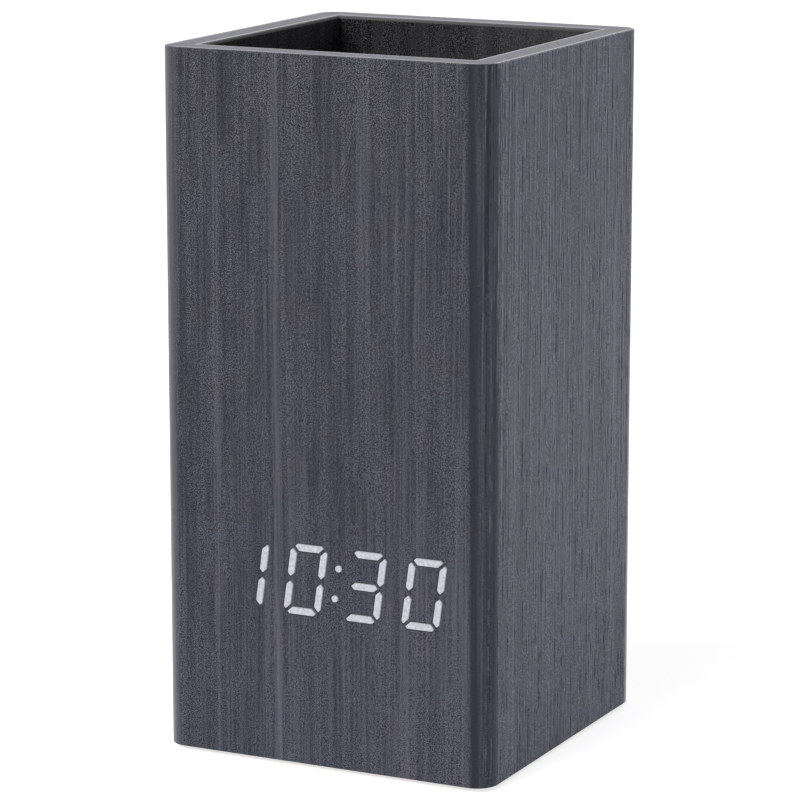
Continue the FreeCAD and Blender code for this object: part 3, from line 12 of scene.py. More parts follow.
import bmesh
import bpy
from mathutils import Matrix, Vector


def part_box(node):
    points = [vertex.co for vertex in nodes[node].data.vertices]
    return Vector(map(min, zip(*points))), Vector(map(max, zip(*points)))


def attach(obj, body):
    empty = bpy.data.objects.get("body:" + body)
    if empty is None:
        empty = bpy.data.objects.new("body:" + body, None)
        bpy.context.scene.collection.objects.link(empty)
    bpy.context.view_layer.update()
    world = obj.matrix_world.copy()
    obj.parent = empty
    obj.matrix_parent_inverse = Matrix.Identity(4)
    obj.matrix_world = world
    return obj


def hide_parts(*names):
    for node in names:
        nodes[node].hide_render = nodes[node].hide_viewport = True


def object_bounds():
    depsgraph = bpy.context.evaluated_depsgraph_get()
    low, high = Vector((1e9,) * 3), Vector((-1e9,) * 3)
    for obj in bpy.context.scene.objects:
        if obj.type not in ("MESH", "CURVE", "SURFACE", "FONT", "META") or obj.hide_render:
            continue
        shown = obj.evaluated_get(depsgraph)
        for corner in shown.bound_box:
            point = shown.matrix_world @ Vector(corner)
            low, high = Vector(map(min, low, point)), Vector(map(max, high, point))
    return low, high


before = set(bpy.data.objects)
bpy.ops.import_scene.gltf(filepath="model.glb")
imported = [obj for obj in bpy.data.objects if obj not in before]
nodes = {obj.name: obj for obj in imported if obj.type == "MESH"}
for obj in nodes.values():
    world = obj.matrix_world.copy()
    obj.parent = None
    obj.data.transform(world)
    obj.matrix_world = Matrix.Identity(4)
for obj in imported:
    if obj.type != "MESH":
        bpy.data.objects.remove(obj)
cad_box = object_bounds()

scene = bpy.context.scene
MM = 0.001            # m
print(len(nodes), "solids, box in mm:", [[round(v / MM, 1) for v in corner] for corner in cad_box])

# %% [markdown]
# ## Sums on wires
#
# A material is a small circuit. Its sums could be made by adding Math nodes one by one, which
# takes many lines and hides the formula. Here a wire is an object that knows + - * and /, so a
# pattern is written as the formula that it is.


# %% A wire that can be added and multiplied
def sum_of(operation, swapped=False):
    """A method that puts one Math node on a wire and its partner."""
    def apply(self, other):
        first, second = (other, self) if swapped else (self, other)
        return self.board.add("Math", {"operation": operation}, {0: first, 1: second})
    return apply


class Wire:
    """One output of a node."""

    def __init__(self, board, socket):
        self.board, self.socket = board, socket

    __add__, __radd__ = sum_of("ADD"), sum_of("ADD", True)
    __sub__, __rsub__ = sum_of("SUBTRACT"), sum_of("SUBTRACT", True)
    __mul__, __rmul__ = sum_of("MULTIPLY"), sum_of("MULTIPLY", True)
    __truediv__ = sum_of("DIVIDE")


print("a wire knows + - * and /")

# %% [markdown]
# ## A board of nodes
#
# Every node is made by one method: its kind, its settings, then what goes into its sockets. On
# top of it stand a few helpers in a maker's words: spots of a size in millimetres, a soft step,
# a mix of two colours, a relief.

# %% The board and its helpers
MIX_SHARE, MIX_FIRST, MIX_SECOND, MIX_RESULT = 0, 6, 7, 2


class Board:
    """A node tree that is built from Python."""

    def __init__(self, tree):
        tree.nodes.clear()
        self.tree = tree

    def add(self, kind, settings=None, inputs=None, output=0):
        """One node: settings first, then a value or a wire for each socket."""
        made = self.tree.nodes.new("ShaderNode" + kind)
        for name, setting in (settings or {}).items():
            setattr(made, name, setting)
        for name, given in (inputs or {}).items():
            if isinstance(given, Wire):
                self.tree.links.new(given.socket, made.inputs[name])
            else:
                made.inputs[name].default_value = given
        return Wire(self, made.outputs[output])

    def place(self):
        """The point on the object, in metres."""
        return self.add("TexCoord", output="Object")

    def axis(self, name):
        """One coordinate of that point, in millimetres."""
        return self.add("SeparateXYZ", inputs={0: self.place()}, output=name) / MM

    def spots(self, size, detail=2.0, seed=0.0, rough=0.5, shift=(0.0, 0.0, 0.0)):
        """Soft random spots, 0 to 1, of a size in millimetres: one number, or one for each axis.

        A shift, also in millimetres, moves the whole pattern.
        """
        size = (size,) * 3 if isinstance(size, (int, float)) else size
        starts = (seed, seed * 0.7, seed * 0.3)
        where = self.add("Mapping", inputs={
            "Vector": self.place(),
            "Location": tuple(a - by / s for a, by, s in zip(starts, shift, size)),
            "Scale": tuple(1 / (s * MM) for s in size)})
        return self.add("TexNoise", {"noise_dimensions": "3D"}, {
            "Vector": where, "Scale": 1.0, "Detail": detail, "Roughness": rough}, "Fac")

    def step(self, wire, low, high):
        """A soft step from 0 at low to 1 at high."""
        return self.add("MapRange", {"interpolation_type": "SMOOTHSTEP"}, {
            "Value": wire, "From Min": low, "From Max": high})

    def one_of(self, operation, *wires):
        """A Math node with a name of its own, such as ABSOLUTE or MAXIMUM."""
        return self.add("Math", {"operation": operation}, dict(enumerate(wires)))

    def mix(self, first, second, share):
        """A colour between two colours."""
        return self.add("Mix", {"data_type": "RGBA"}, {
            MIX_SHARE: share, MIX_FIRST: first, MIX_SECOND: second}, MIX_RESULT)

    def relief(self, height, depth):
        """A surface that rises by depth, in millimetres, where height goes from 0 to 1."""
        return self.add("Bump", inputs={"Height": height, "Distance": depth * MM, "Strength": 1.0})


print("a board knows spots, steps, mixes and relief")

# %% Colours, and a board that is a material
def colour(red, green, blue):
    """An opaque colour from its linear parts."""
    return (red, green, blue, 1.0)


def shade(base, factor):
    """The same colour, lighter or darker."""
    return colour(*(min(1.0, part * factor) for part in base[:3]))


class Finish(Board):
    """A material, which stands on a board of its own."""

    def __init__(self, name):
        self.material = bpy.data.materials.new(name)
        self.material.use_nodes = True
        super().__init__(self.material.node_tree)

    def surface(self, inputs):
        """The shader itself, which ends the board. Gives the finished material."""
        self.add_output(self.add("BsdfPrincipled", inputs=inputs))
        return self.material

    def add_output(self, shader):
        """Joins the shader to the material's output."""
        end = self.tree.nodes.new("ShaderNodeOutputMaterial")
        self.tree.links.new(shader.socket, end.inputs["Surface"])


finishes = {}         # each material, under the name of the slot that it belongs to


def keep(name, material):
    """Files a material and says how large its board is."""
    finishes[name] = material
    print(name, len(material.node_tree.nodes), "nodes")


print("a finish is ready to be made")

# %% [markdown]
# ## The skin: a printed wood-grain film
#
# The four sides are one sheet of film round the boards. The print shows straight black grain:
# soft upright streaks, fine threads and a sandy speckle that comes and goes, and on the left and
# right sides short open pores. A picture of wood could be used. The grain is made from stretched
# noise instead, because it then runs on round the corners without a seam, at its real size.
#
# A pore is a small trench: one edge is in shade and the other catches the light. That look comes
# from one pattern used twice, once dark and once pale, moved sideways by the width of the trench.
#
# Round a corner the film is painted darker, with a darker line on each side of the bend: painted
# shade, stronger on the right corners. The dark band leans a little to the right on its way down.
# Just before the right bend the face is paler, and the two rear corners are paler: both are
# painted highlights. The three corners that a hand holds are rubbed to a shine, which is a thin
# coat. A few lines of the face's print stand out. Painted light also makes the sides paler and
# bluer than the face, the top of the face warmer, the face paler towards its right, a side paler
# at mid height and to the rear, and the film paler and bluer towards the table.

# %% Sizes on the film
CASE_HALF = 40.0      # mm, the middle of the clock to a face
BEND = 5.0            # mm, the radius of the upright corners
BEND_START = CASE_HALF - BEND
BEND_SOFT = 1.0       # mm, how softly a bend and its painted shade start
SIDE_BLEND = 3.0      # mm, how softly the front's print turns into the side's at a corner
HALF_BLEND = 5.0      # mm, how softly the left half turns into the right, and front into rear
MID_LEVEL = 85.0      # mm up, about half the height
SHADE_LEAN = 0.008   # mm to the right for each mm that a bend's band of painted shade is below that
FOOT_HEIGHT = 95.0    # mm, how far up the painted light of the foot, paler and bluer, reaches


class GrainFilm(Finish):
    """The board of the skin. It knows where a point lies on the film."""

    def __init__(self):
        super().__init__("wood_grain_skin")
        self.x, self.y, self.z = (self.axis(name) for name in "XYZ")
        from_x, from_y = (self.one_of("ABSOLUTE", wire) for wire in (self.x, self.y))
        # 1 on the left and right sides, 1 on the front and rear, 1 on the right half, and 1 at
        # the table fading upwards.
        self.sides = self.step(from_x - from_y, -SIDE_BLEND, SIDE_BLEND)
        self.faces = 1 - self.sides
        self.right = self.step(self.x, -HALF_BLEND, HALF_BLEND)
        self.low = 1 - self.step(self.z, 0.0, FOOT_HEIGHT)
        # The distance from the middle of a side towards its corner, in mm, leaning on its way
        # down, and 1 where that is round a bend.
        lean = (MID_LEVEL - self.z) * SHADE_LEAN
        self.inward = self.one_of("MINIMUM", from_x, from_y) + lean * (self.sides * 2 - 1)
        self.bend = self.step(self.inward, BEND_START, BEND_START + BEND_SOFT)


print("flat parts", 2 * BEND_START, "mm wide")

# %% Streaks and lines
WIDE_SIZE, NARROW_SIZE = (5.0, 5.0, 190.0), (1.1, 1.1, 90.0)   # mm
# The few lines of the face's print that stand out: their place, half their width, both in mm,
# and how much paler or darker they are.
FACE_LINES = ((-11.1, 1.3, 0.20), (-25.7, 0.9, 0.10), (-27.9, 0.7, -0.10), (-23.8, 0.9, -0.10))
LINE_CORE = 0.35      # the share of a line that has its full strength


def upright_streaks(film):
    """Soft streaks over the full height, and the few lines of the face on their own."""
    wide = film.spots(WIDE_SIZE, detail=2, seed=3.1) - 0.5
    narrow = film.spots(NARROW_SIZE, detail=3, seed=11.7, rough=0.6) - 0.5
    printed = 0.0
    for place, half, strength in FACE_LINES:
        far = film.one_of("ABSOLUTE", film.x - place)
        printed = (1 - film.step(far, LINE_CORE * half, half)) * strength + printed
    printed = printed * film.step(film.y * -1, BEND_START, CASE_HALF - 1)
    streaks = wide * (0.45 + 0.35 * film.sides) + narrow * (0.60 + 0.25 * film.sides) + printed
    return streaks, printed


print(len(FACE_LINES), "lines stand out")

# %% Threads and sand
THREAD_SIZE, THREAD_STRENGTH = (0.40, 0.40, 30.0), 0.17        # mm
BUSY_SIZE = (4.0, 4.0, 20.0)    # mm, the patches where sand is dense
FACE_SAND, SIDE_SAND = 0.175, (0.30, 0.30, 0.22)               # mm
SAND_EDGE, SAND_MEAN = (0.48, 0.66), 0.30


def threads_and_sand(film, printed):
    """Fine threads, even sand for the gloss, and the sand that shows in the print.

    That sand comes in patches and is thin on the lines that stand out and round a bend.
    """
    threads = film.step(film.spots(THREAD_SIZE, detail=2, seed=23.9), 0.38, 0.62) - 0.5
    busy = film.step(film.spots(BUSY_SIZE, detail=2, seed=41.0), 0.42, 0.58)
    on_faces, on_sides = (film.step(film.spots(size, detail=0, seed=seed), *SAND_EDGE) - SAND_MEAN
                          for size, seed in ((FACE_SAND, 5.3), (SIDE_SAND, 6.1)))
    sand = on_faces * film.faces + on_sides * film.sides
    shown = sand * (0.60 + 0.50 * busy) * (1 - 0.1 * film.sides) * (1 - printed * 2.5)
    shown = shown * (1 - film.bend * (0.6 - 0.4 * film.low))
    return threads * THREAD_STRENGTH, sand, shown


print("threads", THREAD_SIZE[0], "mm wide, sand", FACE_SAND, "mm")

# %% Pores
PORE_SIZE = (0.68, 0.68, 60.0)  # mm, the lines that pores lie on
PORE_WIDTH = 0.42     # mm
PORE_DARK = 0.62      # a trench's dark edge, against its pale edge
OPEN_SIZE = (1.5, 1.5, 4.0)     # mm, the patches where those lines are open
CLOSED_SHOWS = 0.08   # how much of a line shows where it isn't open
DEEP_FROM, DEEP_TO = 20.0, 130.0    # mm up, between these pores get more distinct


def open_pores(film):
    """Light and dark of the pores, and a mask of the trenches."""
    dark_edge, pale_edge = (
        film.step(film.spots(PORE_SIZE, detail=1, seed=57.0, shift=(0.0, by, 0.0)), 0.50, 0.56)
        for by in (0.0, PORE_WIDTH))
    is_open = film.step(film.spots(OPEN_SIZE, detail=2, seed=91.0), 0.50, 0.58) * film.sides
    deep = 0.45 + 0.95 * film.step(film.z, DEEP_FROM, DEEP_TO)
    pores = (pale_edge - dark_edge * PORE_DARK) * (CLOSED_SHOWS + is_open) * deep
    return pores, dark_edge * is_open


print("pores", PORE_WIDTH, "mm wide")

# %% Corners
BEND_SHADE = 0.30      # how much darker a bend is painted: painted shade
LEFT_SHARE = 0.35     # how much of that the left corners have
RIGHT_HIGHLIGHT_PALE, RIGHT_HIGHLIGHT_PLACE, RIGHT_HIGHLIGHT_HALF = 0.07, 2.7, 3.0   # the painted highlight, paler, on the face before its right bend: mm
REAR_HIGHLIGHT_PALE, REAR_HIGHLIGHT_WIDTH = 0.14, 3.5   # how much paler the rear corners are painted, a painted highlight, and how far, mm
SHADE_LINE_PLACES = (1.0, 1.8)      # mm, a bend's two lines of painted shade, in from where it starts: face, side
SHADE_LINE_DARK, SHADE_LINE_HALF = 0.80, 1.5   # how much darker they are, and half their width, mm


def corner_marks(film, tone):
    """The tone with painted highlights on the rear corners and before the right bend, and painted
    shade round a bend and in its two lines.
    """
    # A painted highlight: the two rear corners are paler.
    edge_highlight = film.step(film.inward, BEND_START - REAR_HIGHLIGHT_WIDTH, BEND_START + BEND_SOFT)
    edge_highlight = edge_highlight * film.step(film.y, 0.0, HALF_BLEND)
    # A painted highlight: the face is paler just before its right bend.
    from_right_highlight = film.one_of("ABSOLUTE", film.inward - BEND_START + RIGHT_HIGHLIGHT_PLACE)
    right_highlight = (1 - film.step(from_right_highlight, 0.5, RIGHT_HIGHLIGHT_HALF)) * film.faces * film.right
    on_face, on_side = SHADE_LINE_PLACES
    shade_line_place = BEND_START + on_face + (on_side - on_face) * film.sides
    from_shade_line = film.one_of("ABSOLUTE", film.inward - shade_line_place)
    shade_line = 1 - film.step(from_shade_line, 0.3, SHADE_LINE_HALF)
    shade_share = LEFT_SHARE + (1 - LEFT_SHARE) * film.right
    tone = tone + edge_highlight * REAR_HIGHLIGHT_PALE + right_highlight * RIGHT_HIGHLIGHT_PALE
    # Painted shade: a bend and its two lines darken the tone, less on the left corners.
    return tone * (1 - film.bend * shade_share * BEND_SHADE) * (1 - shade_line * shade_share * SHADE_LINE_DARK)


print("dark lines", SHADE_LINE_PLACES, "mm into a bend")

# %% Colours
FACE_COOL, FACE_WARM = colour(0.132, 0.144, 0.174), colour(0.151, 0.145, 0.174)
# The colours of the sides are paler and bluer than the face's: painted light.
SIDE_COOL, SIDE_WARM = colour(0.139, 0.162, 0.208), colour(0.161, 0.156, 0.208)
# The top colours of the face, warmer and a little paler: painted light.
TOP_COOL, TOP_WARM = colour(0.144, 0.150, 0.164), colour(0.161, 0.150, 0.164)
TOP_FROM, TOP_TO = 118.0, 150.0     # mm up, between these the face takes its top colours, warmer and paler: painted light
# Painted light: the film turns bluer towards the table.
FOOT_PAINTED_BLUE = colour(0.150, 0.185, 0.400)
# The black of the sides is bluer too: painted light.
FACE_SHADOW, SIDE_SHADOW = colour(0.0037, 0.0046, 0.0138), colour(0.004, 0.007, 0.019)
TINT_SIZE = (4.0, 4.0, 9.0)         # mm, the patches that are warmer


def painted_light_drift(film):
    """Painted light: the face is paler to the foot and the right, a side at mid height and to the
    rear.
    """
    off_middle = film.one_of("ABSOLUTE", film.z - MID_LEVEL)
    on_faces = film.low * 0.15 + film.x * 0.0014
    on_sides = 0.04 - off_middle * 0.0006 + film.y * 0.0012
    return on_faces * film.faces + on_sides * film.sides


def print_colour(film, tone):
    """From the black of the print to its grey, warmer in patches. The blue near the table, the
    paler, bluer colours of the sides and the warmer top of the face are painted light.
    """
    tint = film.step(film.spots(TINT_SIZE, detail=1, seed=77.0), 0.38, 0.62)
    high = film.step(film.z, TOP_FROM, TOP_TO)
    cool = film.mix(film.mix(FACE_COOL, TOP_COOL, high), SIDE_COOL, film.sides)
    warm = film.mix(film.mix(FACE_WARM, TOP_WARM, high), SIDE_WARM, film.sides)
    shadow = film.mix(FACE_SHADOW, SIDE_SHADOW, film.sides * (1 - 0.7 * film.bend))
    grey = film.mix(film.mix(cool, warm, tint), FOOT_PAINTED_BLUE, film.low * (0.06 + 0.09 * film.sides))
    return film.mix(shadow, grey, tone)


print("top colours from", TOP_FROM, "mm up")

# %% The whole film
BASE_TONE, SIDE_PAINTED_PALE = 0.17, 0.035     # how pale the print is, and how much paler the sides are painted: painted light
MATT_CORNER = (55.0, 65.0)    # mm, x - y past which the front right corner keeps its matt print


def wood_grain_skin():
    """Black wood-grain film."""
    film = GrainFilm()
    streaks, printed = upright_streaks(film)
    threads, sand, sand_shown = threads_and_sand(film, printed)
    pores, trench = open_pores(film)
    tone = BASE_TONE + film.sides * SIDE_PAINTED_PALE + streaks + sand_shown + threads + pores
    tone = corner_marks(film, tone + painted_light_drift(film))
    matt_corner = film.step(film.x - film.y, *MATT_CORNER)
    rubbed = film.bend * (1 - matt_corner) * (0.45 + 0.55 * film.right)
    rough = 0.42 + sand * 0.10 - film.bend * 0.04 - threads * 0.10 + trench * 0.3
    return film.surface({
        "Base Color": print_colour(film, tone), "Roughness": rough, "Specular IOR Level": 0.24,
        "Coat Weight": rubbed, "Coat Roughness": 0.42,
        "Normal": film.relief(threads * 0.5 - trench * 0.5 + 0.5, 0.10)})


keep("wood_grain_skin", wood_grain_skin())

# %% [markdown]
# ## Boards, plastics, metals and rubber
#
# Most of the other solids are of a few families, and each family is one function. Its members
# come later, in one table. Moulded plastic has a spark-eroded grain. Metal has fine scratches
# along the way it was drawn. Fibreboard is pressed fibres, and its cut edge is brown.


# %% Moulded plastic
def moulded(name, base, roughness, grain=0.25, depth=0.01, specular=0.5):
    """Plastic with the fine grain of its mould and a few soft marks of handling."""
    part = Finish(name)
    grains = part.spots(grain, detail=2, seed=1.3)
    marks = part.spots((6.0, 2.5, 6.0), detail=3, seed=9.1)
    tone = part.mix(shade(base, 0.86), shade(base, 1.14), part.step(grains, 0.3, 0.7))
    return part.surface({
        "Base Color": part.mix(tone, shade(base, 1.3), part.step(marks, 0.58, 0.8) * 0.3),
        "Roughness": roughness + (grains - 0.5) * 0.12 - part.step(marks, 0.55, 0.75) * 0.08,
        "Specular IOR Level": specular,
        "Normal": part.relief(grains, depth)})


print("moulded plastic has grain and marks")


# %% Metal
def metal(name, base, roughness, along=(3.0, 0.12, 3.0), depth=0.004):
    """Plated or drawn metal, with scratches, dull spots and a little tarnish."""
    part = Finish(name)
    scratches = part.spots(along, detail=3, seed=4.4)
    dull = part.spots(2.2, detail=3, seed=19.0)
    return part.surface({
        "Base Color": part.mix(base, shade(base, 0.62), part.step(dull, 0.52, 0.78)),
        "Metallic": 1.0,
        "Roughness": roughness + (scratches - 0.5) * 0.22 + part.step(dull, 0.5, 0.8) * 0.15,
        "Normal": part.relief(scratches, depth)})


print("metal has scratches and dull spots")


# %% Pressed board
def pressed_board(name, base, fibre, roughness):
    """Fibreboard: short pale and dark fibres in a felt."""
    part = Finish(name)
    fibres = part.spots((1.6, 1.6, 0.25), detail=4, seed=2.2, rough=0.65)
    flecks = part.step(part.spots((0.9, 0.9, 0.2), detail=2, seed=31.0), 0.6, 0.72)
    tone = part.mix(shade(base, 0.7), shade(base, 1.25), part.step(fibres, 0.3, 0.7))
    return part.surface({
        "Base Color": part.mix(tone, fibre, flecks * 0.6),
        "Roughness": roughness + (fibres - 0.5) * 0.15,
        "Normal": part.relief(fibres, 0.05)})


print("pressed board has fibres and flecks")

# %% [markdown]
# ## The rim and the lining of the cup
#
# The rim is the same black film on a flat edge, wiped smoother by hands, so it shines where light
# comes in low. Its inner and outer edges are painted much paler, a painted highlight. Its small
# bevel to the cup shows the cut edge of the film, which is rough, and is painted paler, also a
# painted highlight. The lining is a matt black film with the same sandy grain, painted paler
# towards the right, which is painted light.

# %% The rim
CUP_HALF = 33.2       # mm, the middle of the cup to its lining
RIM_BEVEL = 0.3       # mm
RIM_MIDDLE = 36.5     # mm, the middle of the clock to the middle of the flat edge
RIM_HALF = RIM_MIDDLE - CUP_HALF
EDGE_HIGHLIGHT_FROM, EDGE_HIGHLIGHT_FULL = 1.1, 0.4     # mm from the rim's edges, where its painted highlight starts, and is full
RIM_DARK, RIM_PALE = colour(0.030, 0.028, 0.044), colour(0.084, 0.078, 0.116)
# The rim's edges and its bevel are painted paler: painted highlights.
RIM_EDGE_HIGHLIGHT, RIM_BEVEL_HIGHLIGHT = colour(0.42, 0.40, 0.46), colour(0.085, 0.085, 0.09)


def rim_film():
    """The edging on top of the boards."""
    part = Finish("rim_edging")
    sand = part.spots(0.30, detail=2, seed=8.8, rough=0.7)
    drift = part.spots((14.0, 14.0, 14.0), detail=2, seed=12.0)
    from_x, from_y = (part.one_of("ABSOLUTE", part.axis(name)) for name in "XY")
    outward = part.one_of("MAXIMUM", from_x, from_y)
    # The bevel: rougher, and paler, which is a painted highlight.
    on_bevel = 1 - part.step(outward, CUP_HALF + 0.6 * RIM_BEVEL, CUP_HALF + RIM_BEVEL)
    from_middle = part.one_of("ABSOLUTE", outward - RIM_MIDDLE)
    # A painted highlight: the rim is much paler near its edges.
    edge_highlight = part.step(from_middle, RIM_HALF - EDGE_HIGHLIGHT_FROM, RIM_HALF - EDGE_HIGHLIGHT_FULL)
    flat = part.mix(RIM_DARK, RIM_PALE, 0.5 + (sand - 0.5) * 2.2 + (drift - 0.5) * 0.6)
    flat = part.mix(flat, RIM_EDGE_HIGHLIGHT, edge_highlight * 0.9)
    rough = 0.46 + (sand - 0.5) * 0.9 + (drift - 0.5) * 0.1 + on_bevel * 0.4 - edge_highlight * 0.14
    return part.surface({
        "Base Color": part.mix(flat, RIM_BEVEL_HIGHLIGHT, on_bevel), "Roughness": rough,
        "Specular IOR Level": 0.6, "Normal": part.relief(sand, 0.06)})


keep("rim_edging", rim_film())

# %% The lining
LINING_DARK, LINING_PALE = colour(0.002, 0.002, 0.003), colour(0.100, 0.099, 0.106)


def lining_film():
    """The matt film inside the cup."""
    part = Finish("cup_lining")
    sand = part.step(part.spots(0.24, detail=1, seed=15.5), 0.44, 0.68) - 0.3
    busy = part.step(part.spots((3.0, 3.0, 6.0), detail=2, seed=35.0), 0.35, 0.62)
    streaks = part.spots((2.4, 2.4, 70.0), detail=2, seed=17.0) - 0.5
    # The lining is painted paler towards +X, which is painted light.
    tone = 0.40 + sand * (0.4 + 0.6 * busy) + streaks * 0.5 + part.axis("X") * 0.007
    return part.surface({
        "Base Color": part.mix(LINING_DARK, LINING_PALE, tone), "Roughness": 0.66 + sand * 0.15,
        "Specular IOR Level": 0.06, "Normal": part.relief(sand, 0.03)})


keep("cup_lining", lining_film())

# %% [markdown]
# ## The lit bars
#
# Each bar is a light guide that comes up flush with the film. Its face is milky and glows from a
# chip behind it, a little brighter in some places than in others. Glow and milky white share the
# work, so that the figures are pale in daylight too.

# %% Lit light guides
LIT_COLOUR, LIT_STRENGTH = colour(0.90, 0.91, 1.0), 0.46
MILK_DARK, MILK_PALE = colour(0.05, 0.05, 0.06), colour(0.26, 0.26, 0.29)
UNLIT_COLOUR = colour(0.02, 0.02, 0.025)


def lit_guide():
    """A glowing light guide. The attribute "glow" is 1 inside a bar and falls at its edge."""
    part = Finish("lit_figures")
    mottle = part.spots(0.5, detail=2, seed=21.0, rough=0.6)
    glow = part.add("Attribute", {"attribute_name": "glow"}, output="Fac")
    light = glow * (0.80 + (mottle - 0.5) * 0.9)
    return part.surface({
        "Base Color": part.mix(MILK_DARK, MILK_PALE, light),
        "Roughness": 0.5 + (mottle - 0.5) * 0.2,
        "Emission Color": part.mix(UNLIT_COLOUR, LIT_COLOUR, light),
        "Emission Strength": LIT_STRENGTH,
        "Normal": part.relief(mottle, 0.03)})


keep("lit_figures", lit_guide())

# %% [markdown]
# ## Circuit boards and the flat cable
#
# A circuit board is glass cloth under green lacquer. Copper tracks show as paler, slightly raised
# lines in bundles that run across or up, and tinned holes sit between them. The sawn edge is bare
# and yellowish. The flat cable is a row of round wires side by side, the first one marked red.

# %% A circuit board
TRACK_PITCH = 1.1     # mm
HOLE_PITCH = 2.6      # mm
LACQUER, OVER_COPPER = colour(0.008, 0.060, 0.024), colour(0.020, 0.125, 0.055)
TIN, SAWN_GLASS = colour(0.60, 0.57, 0.48), colour(0.36, 0.34, 0.20)


def green_board():
    """Lacquered circuit board that stands upright across the clock."""
    part = Finish("circuit_board")
    x, z = part.axis("X"), part.axis("Z")
    upright, across = (part.step(part.one_of("PINGPONG", along / TRACK_PITCH, 0.5), 0.30, 0.34)
                       for along in (x, z))
    bundle = part.step(part.spots(5.0, detail=0, seed=3.0), 0.49, 0.51)
    ends = part.step(part.spots(3.4, detail=0, seed=8.0), 0.42, 0.44)
    track = (upright * bundle + across * (1 - bundle)) * ends
    spread = part.add("Mapping", inputs={
        "Vector": part.place(), "Scale": (1 / (HOLE_PITCH * MM),) * 3})
    far = part.add("TexVoronoi", {"feature": "F1"}, {
        "Vector": spread, "Scale": 1.0, "Randomness": 0.8}, "Distance")
    ring = 1 - part.step(far, 0.15, 0.18)
    cloth = part.spots((0.5, 0.5, 0.5), detail=3, seed=2.0)
    facing = part.add("SeparateXYZ", inputs={0: part.add("TexCoord", output="Normal")}, output="Y")
    sawn = 1 - part.step(part.one_of("ABSOLUTE", facing), 0.4, 0.6)
    lacquer = part.mix(LACQUER, OVER_COPPER, track * 0.8 + (cloth - 0.5) * 0.5)
    tinned = part.mix(lacquer, TIN, ring)
    return part.surface({
        "Base Color": part.mix(tinned, SAWN_GLASS, sawn),
        "Metallic": ring * (1 - sawn),
        "Roughness": 0.30 + (cloth - 0.5) * 0.1 + sawn * 0.45,
        "Normal": part.relief(track * 0.7 + ring + cloth * 0.15, 0.035)})


keep("circuit_board", green_board())

# %% The flat cable
WIRE_PITCH = 1.0      # mm
FIRST_WIRE = 2.0      # mm, where the first wire starts
VINYL_SHADED, VINYL_LIT = colour(0.16, 0.16, 0.17), colour(0.40, 0.40, 0.41)
RED_WIRE = colour(0.45, 0.02, 0.02)


def flat_cable():
    """Round wires side by side, in grey vinyl with the first wire red."""
    part = Finish("ribbon_insulation")
    x = part.axis("X")
    round_top = part.one_of("PINGPONG", (x - FIRST_WIRE) / WIRE_PITCH, 0.5) * 2
    wire = 1 - (1 - round_top) * (1 - round_top)
    skin = part.spots((0.4, 3.0, 3.0), detail=3, seed=6.0)
    first = 1 - part.step(x, FIRST_WIRE + 0.9 * WIRE_PITCH, FIRST_WIRE + WIRE_PITCH)
    # Paler on each wire's crown and darker between the wires: painted highlight and painted shade.
    vinyl = part.mix(VINYL_SHADED, VINYL_LIT, wire + (skin - 0.5) * 0.4)
    return part.surface({
        "Base Color": part.mix(vinyl, RED_WIRE, first * 0.85),
        "Roughness": 0.42 + (skin - 0.5) * 0.2,
        "Normal": part.relief(wire, 0.22)})


keep("ribbon_insulation", flat_cable())

# %% [markdown]
# ## Dry cells in a printed sleeve
#
# A dry cell is a plated steel can in a shrunk plastic sleeve. The sleeve has a silver band at the
# plus end, and a white plus and minus sign on the side that faces the door. The signs could be
# cut into the mesh. They are sums on the coordinates instead: a sign is where two bars overlap.

# %% The sleeve
CELLS = {"bottom_cell": 1, "middle_cell": -1, "top_cell": 1}   # 1 where the plus end is at +X
BAND_LENGTH = 11.0    # mm, the silver band at the plus end
SIGN_PLACE = 5.5      # mm, a sign's middle from the end of its cell
SIGN_HALF, SIGN_STROKE = 1.9, 0.38   # mm, half the length and half the width of a bar
SLEEVE_DARK, SLEEVE_PALE = colour(0.022, 0.075, 0.16), colour(0.030, 0.095, 0.20)
SILVER_DARK, SILVER_PALE = colour(0.42, 0.43, 0.44), colour(0.56, 0.57, 0.58)
SIGN_WHITE = colour(0.80, 0.80, 0.78)


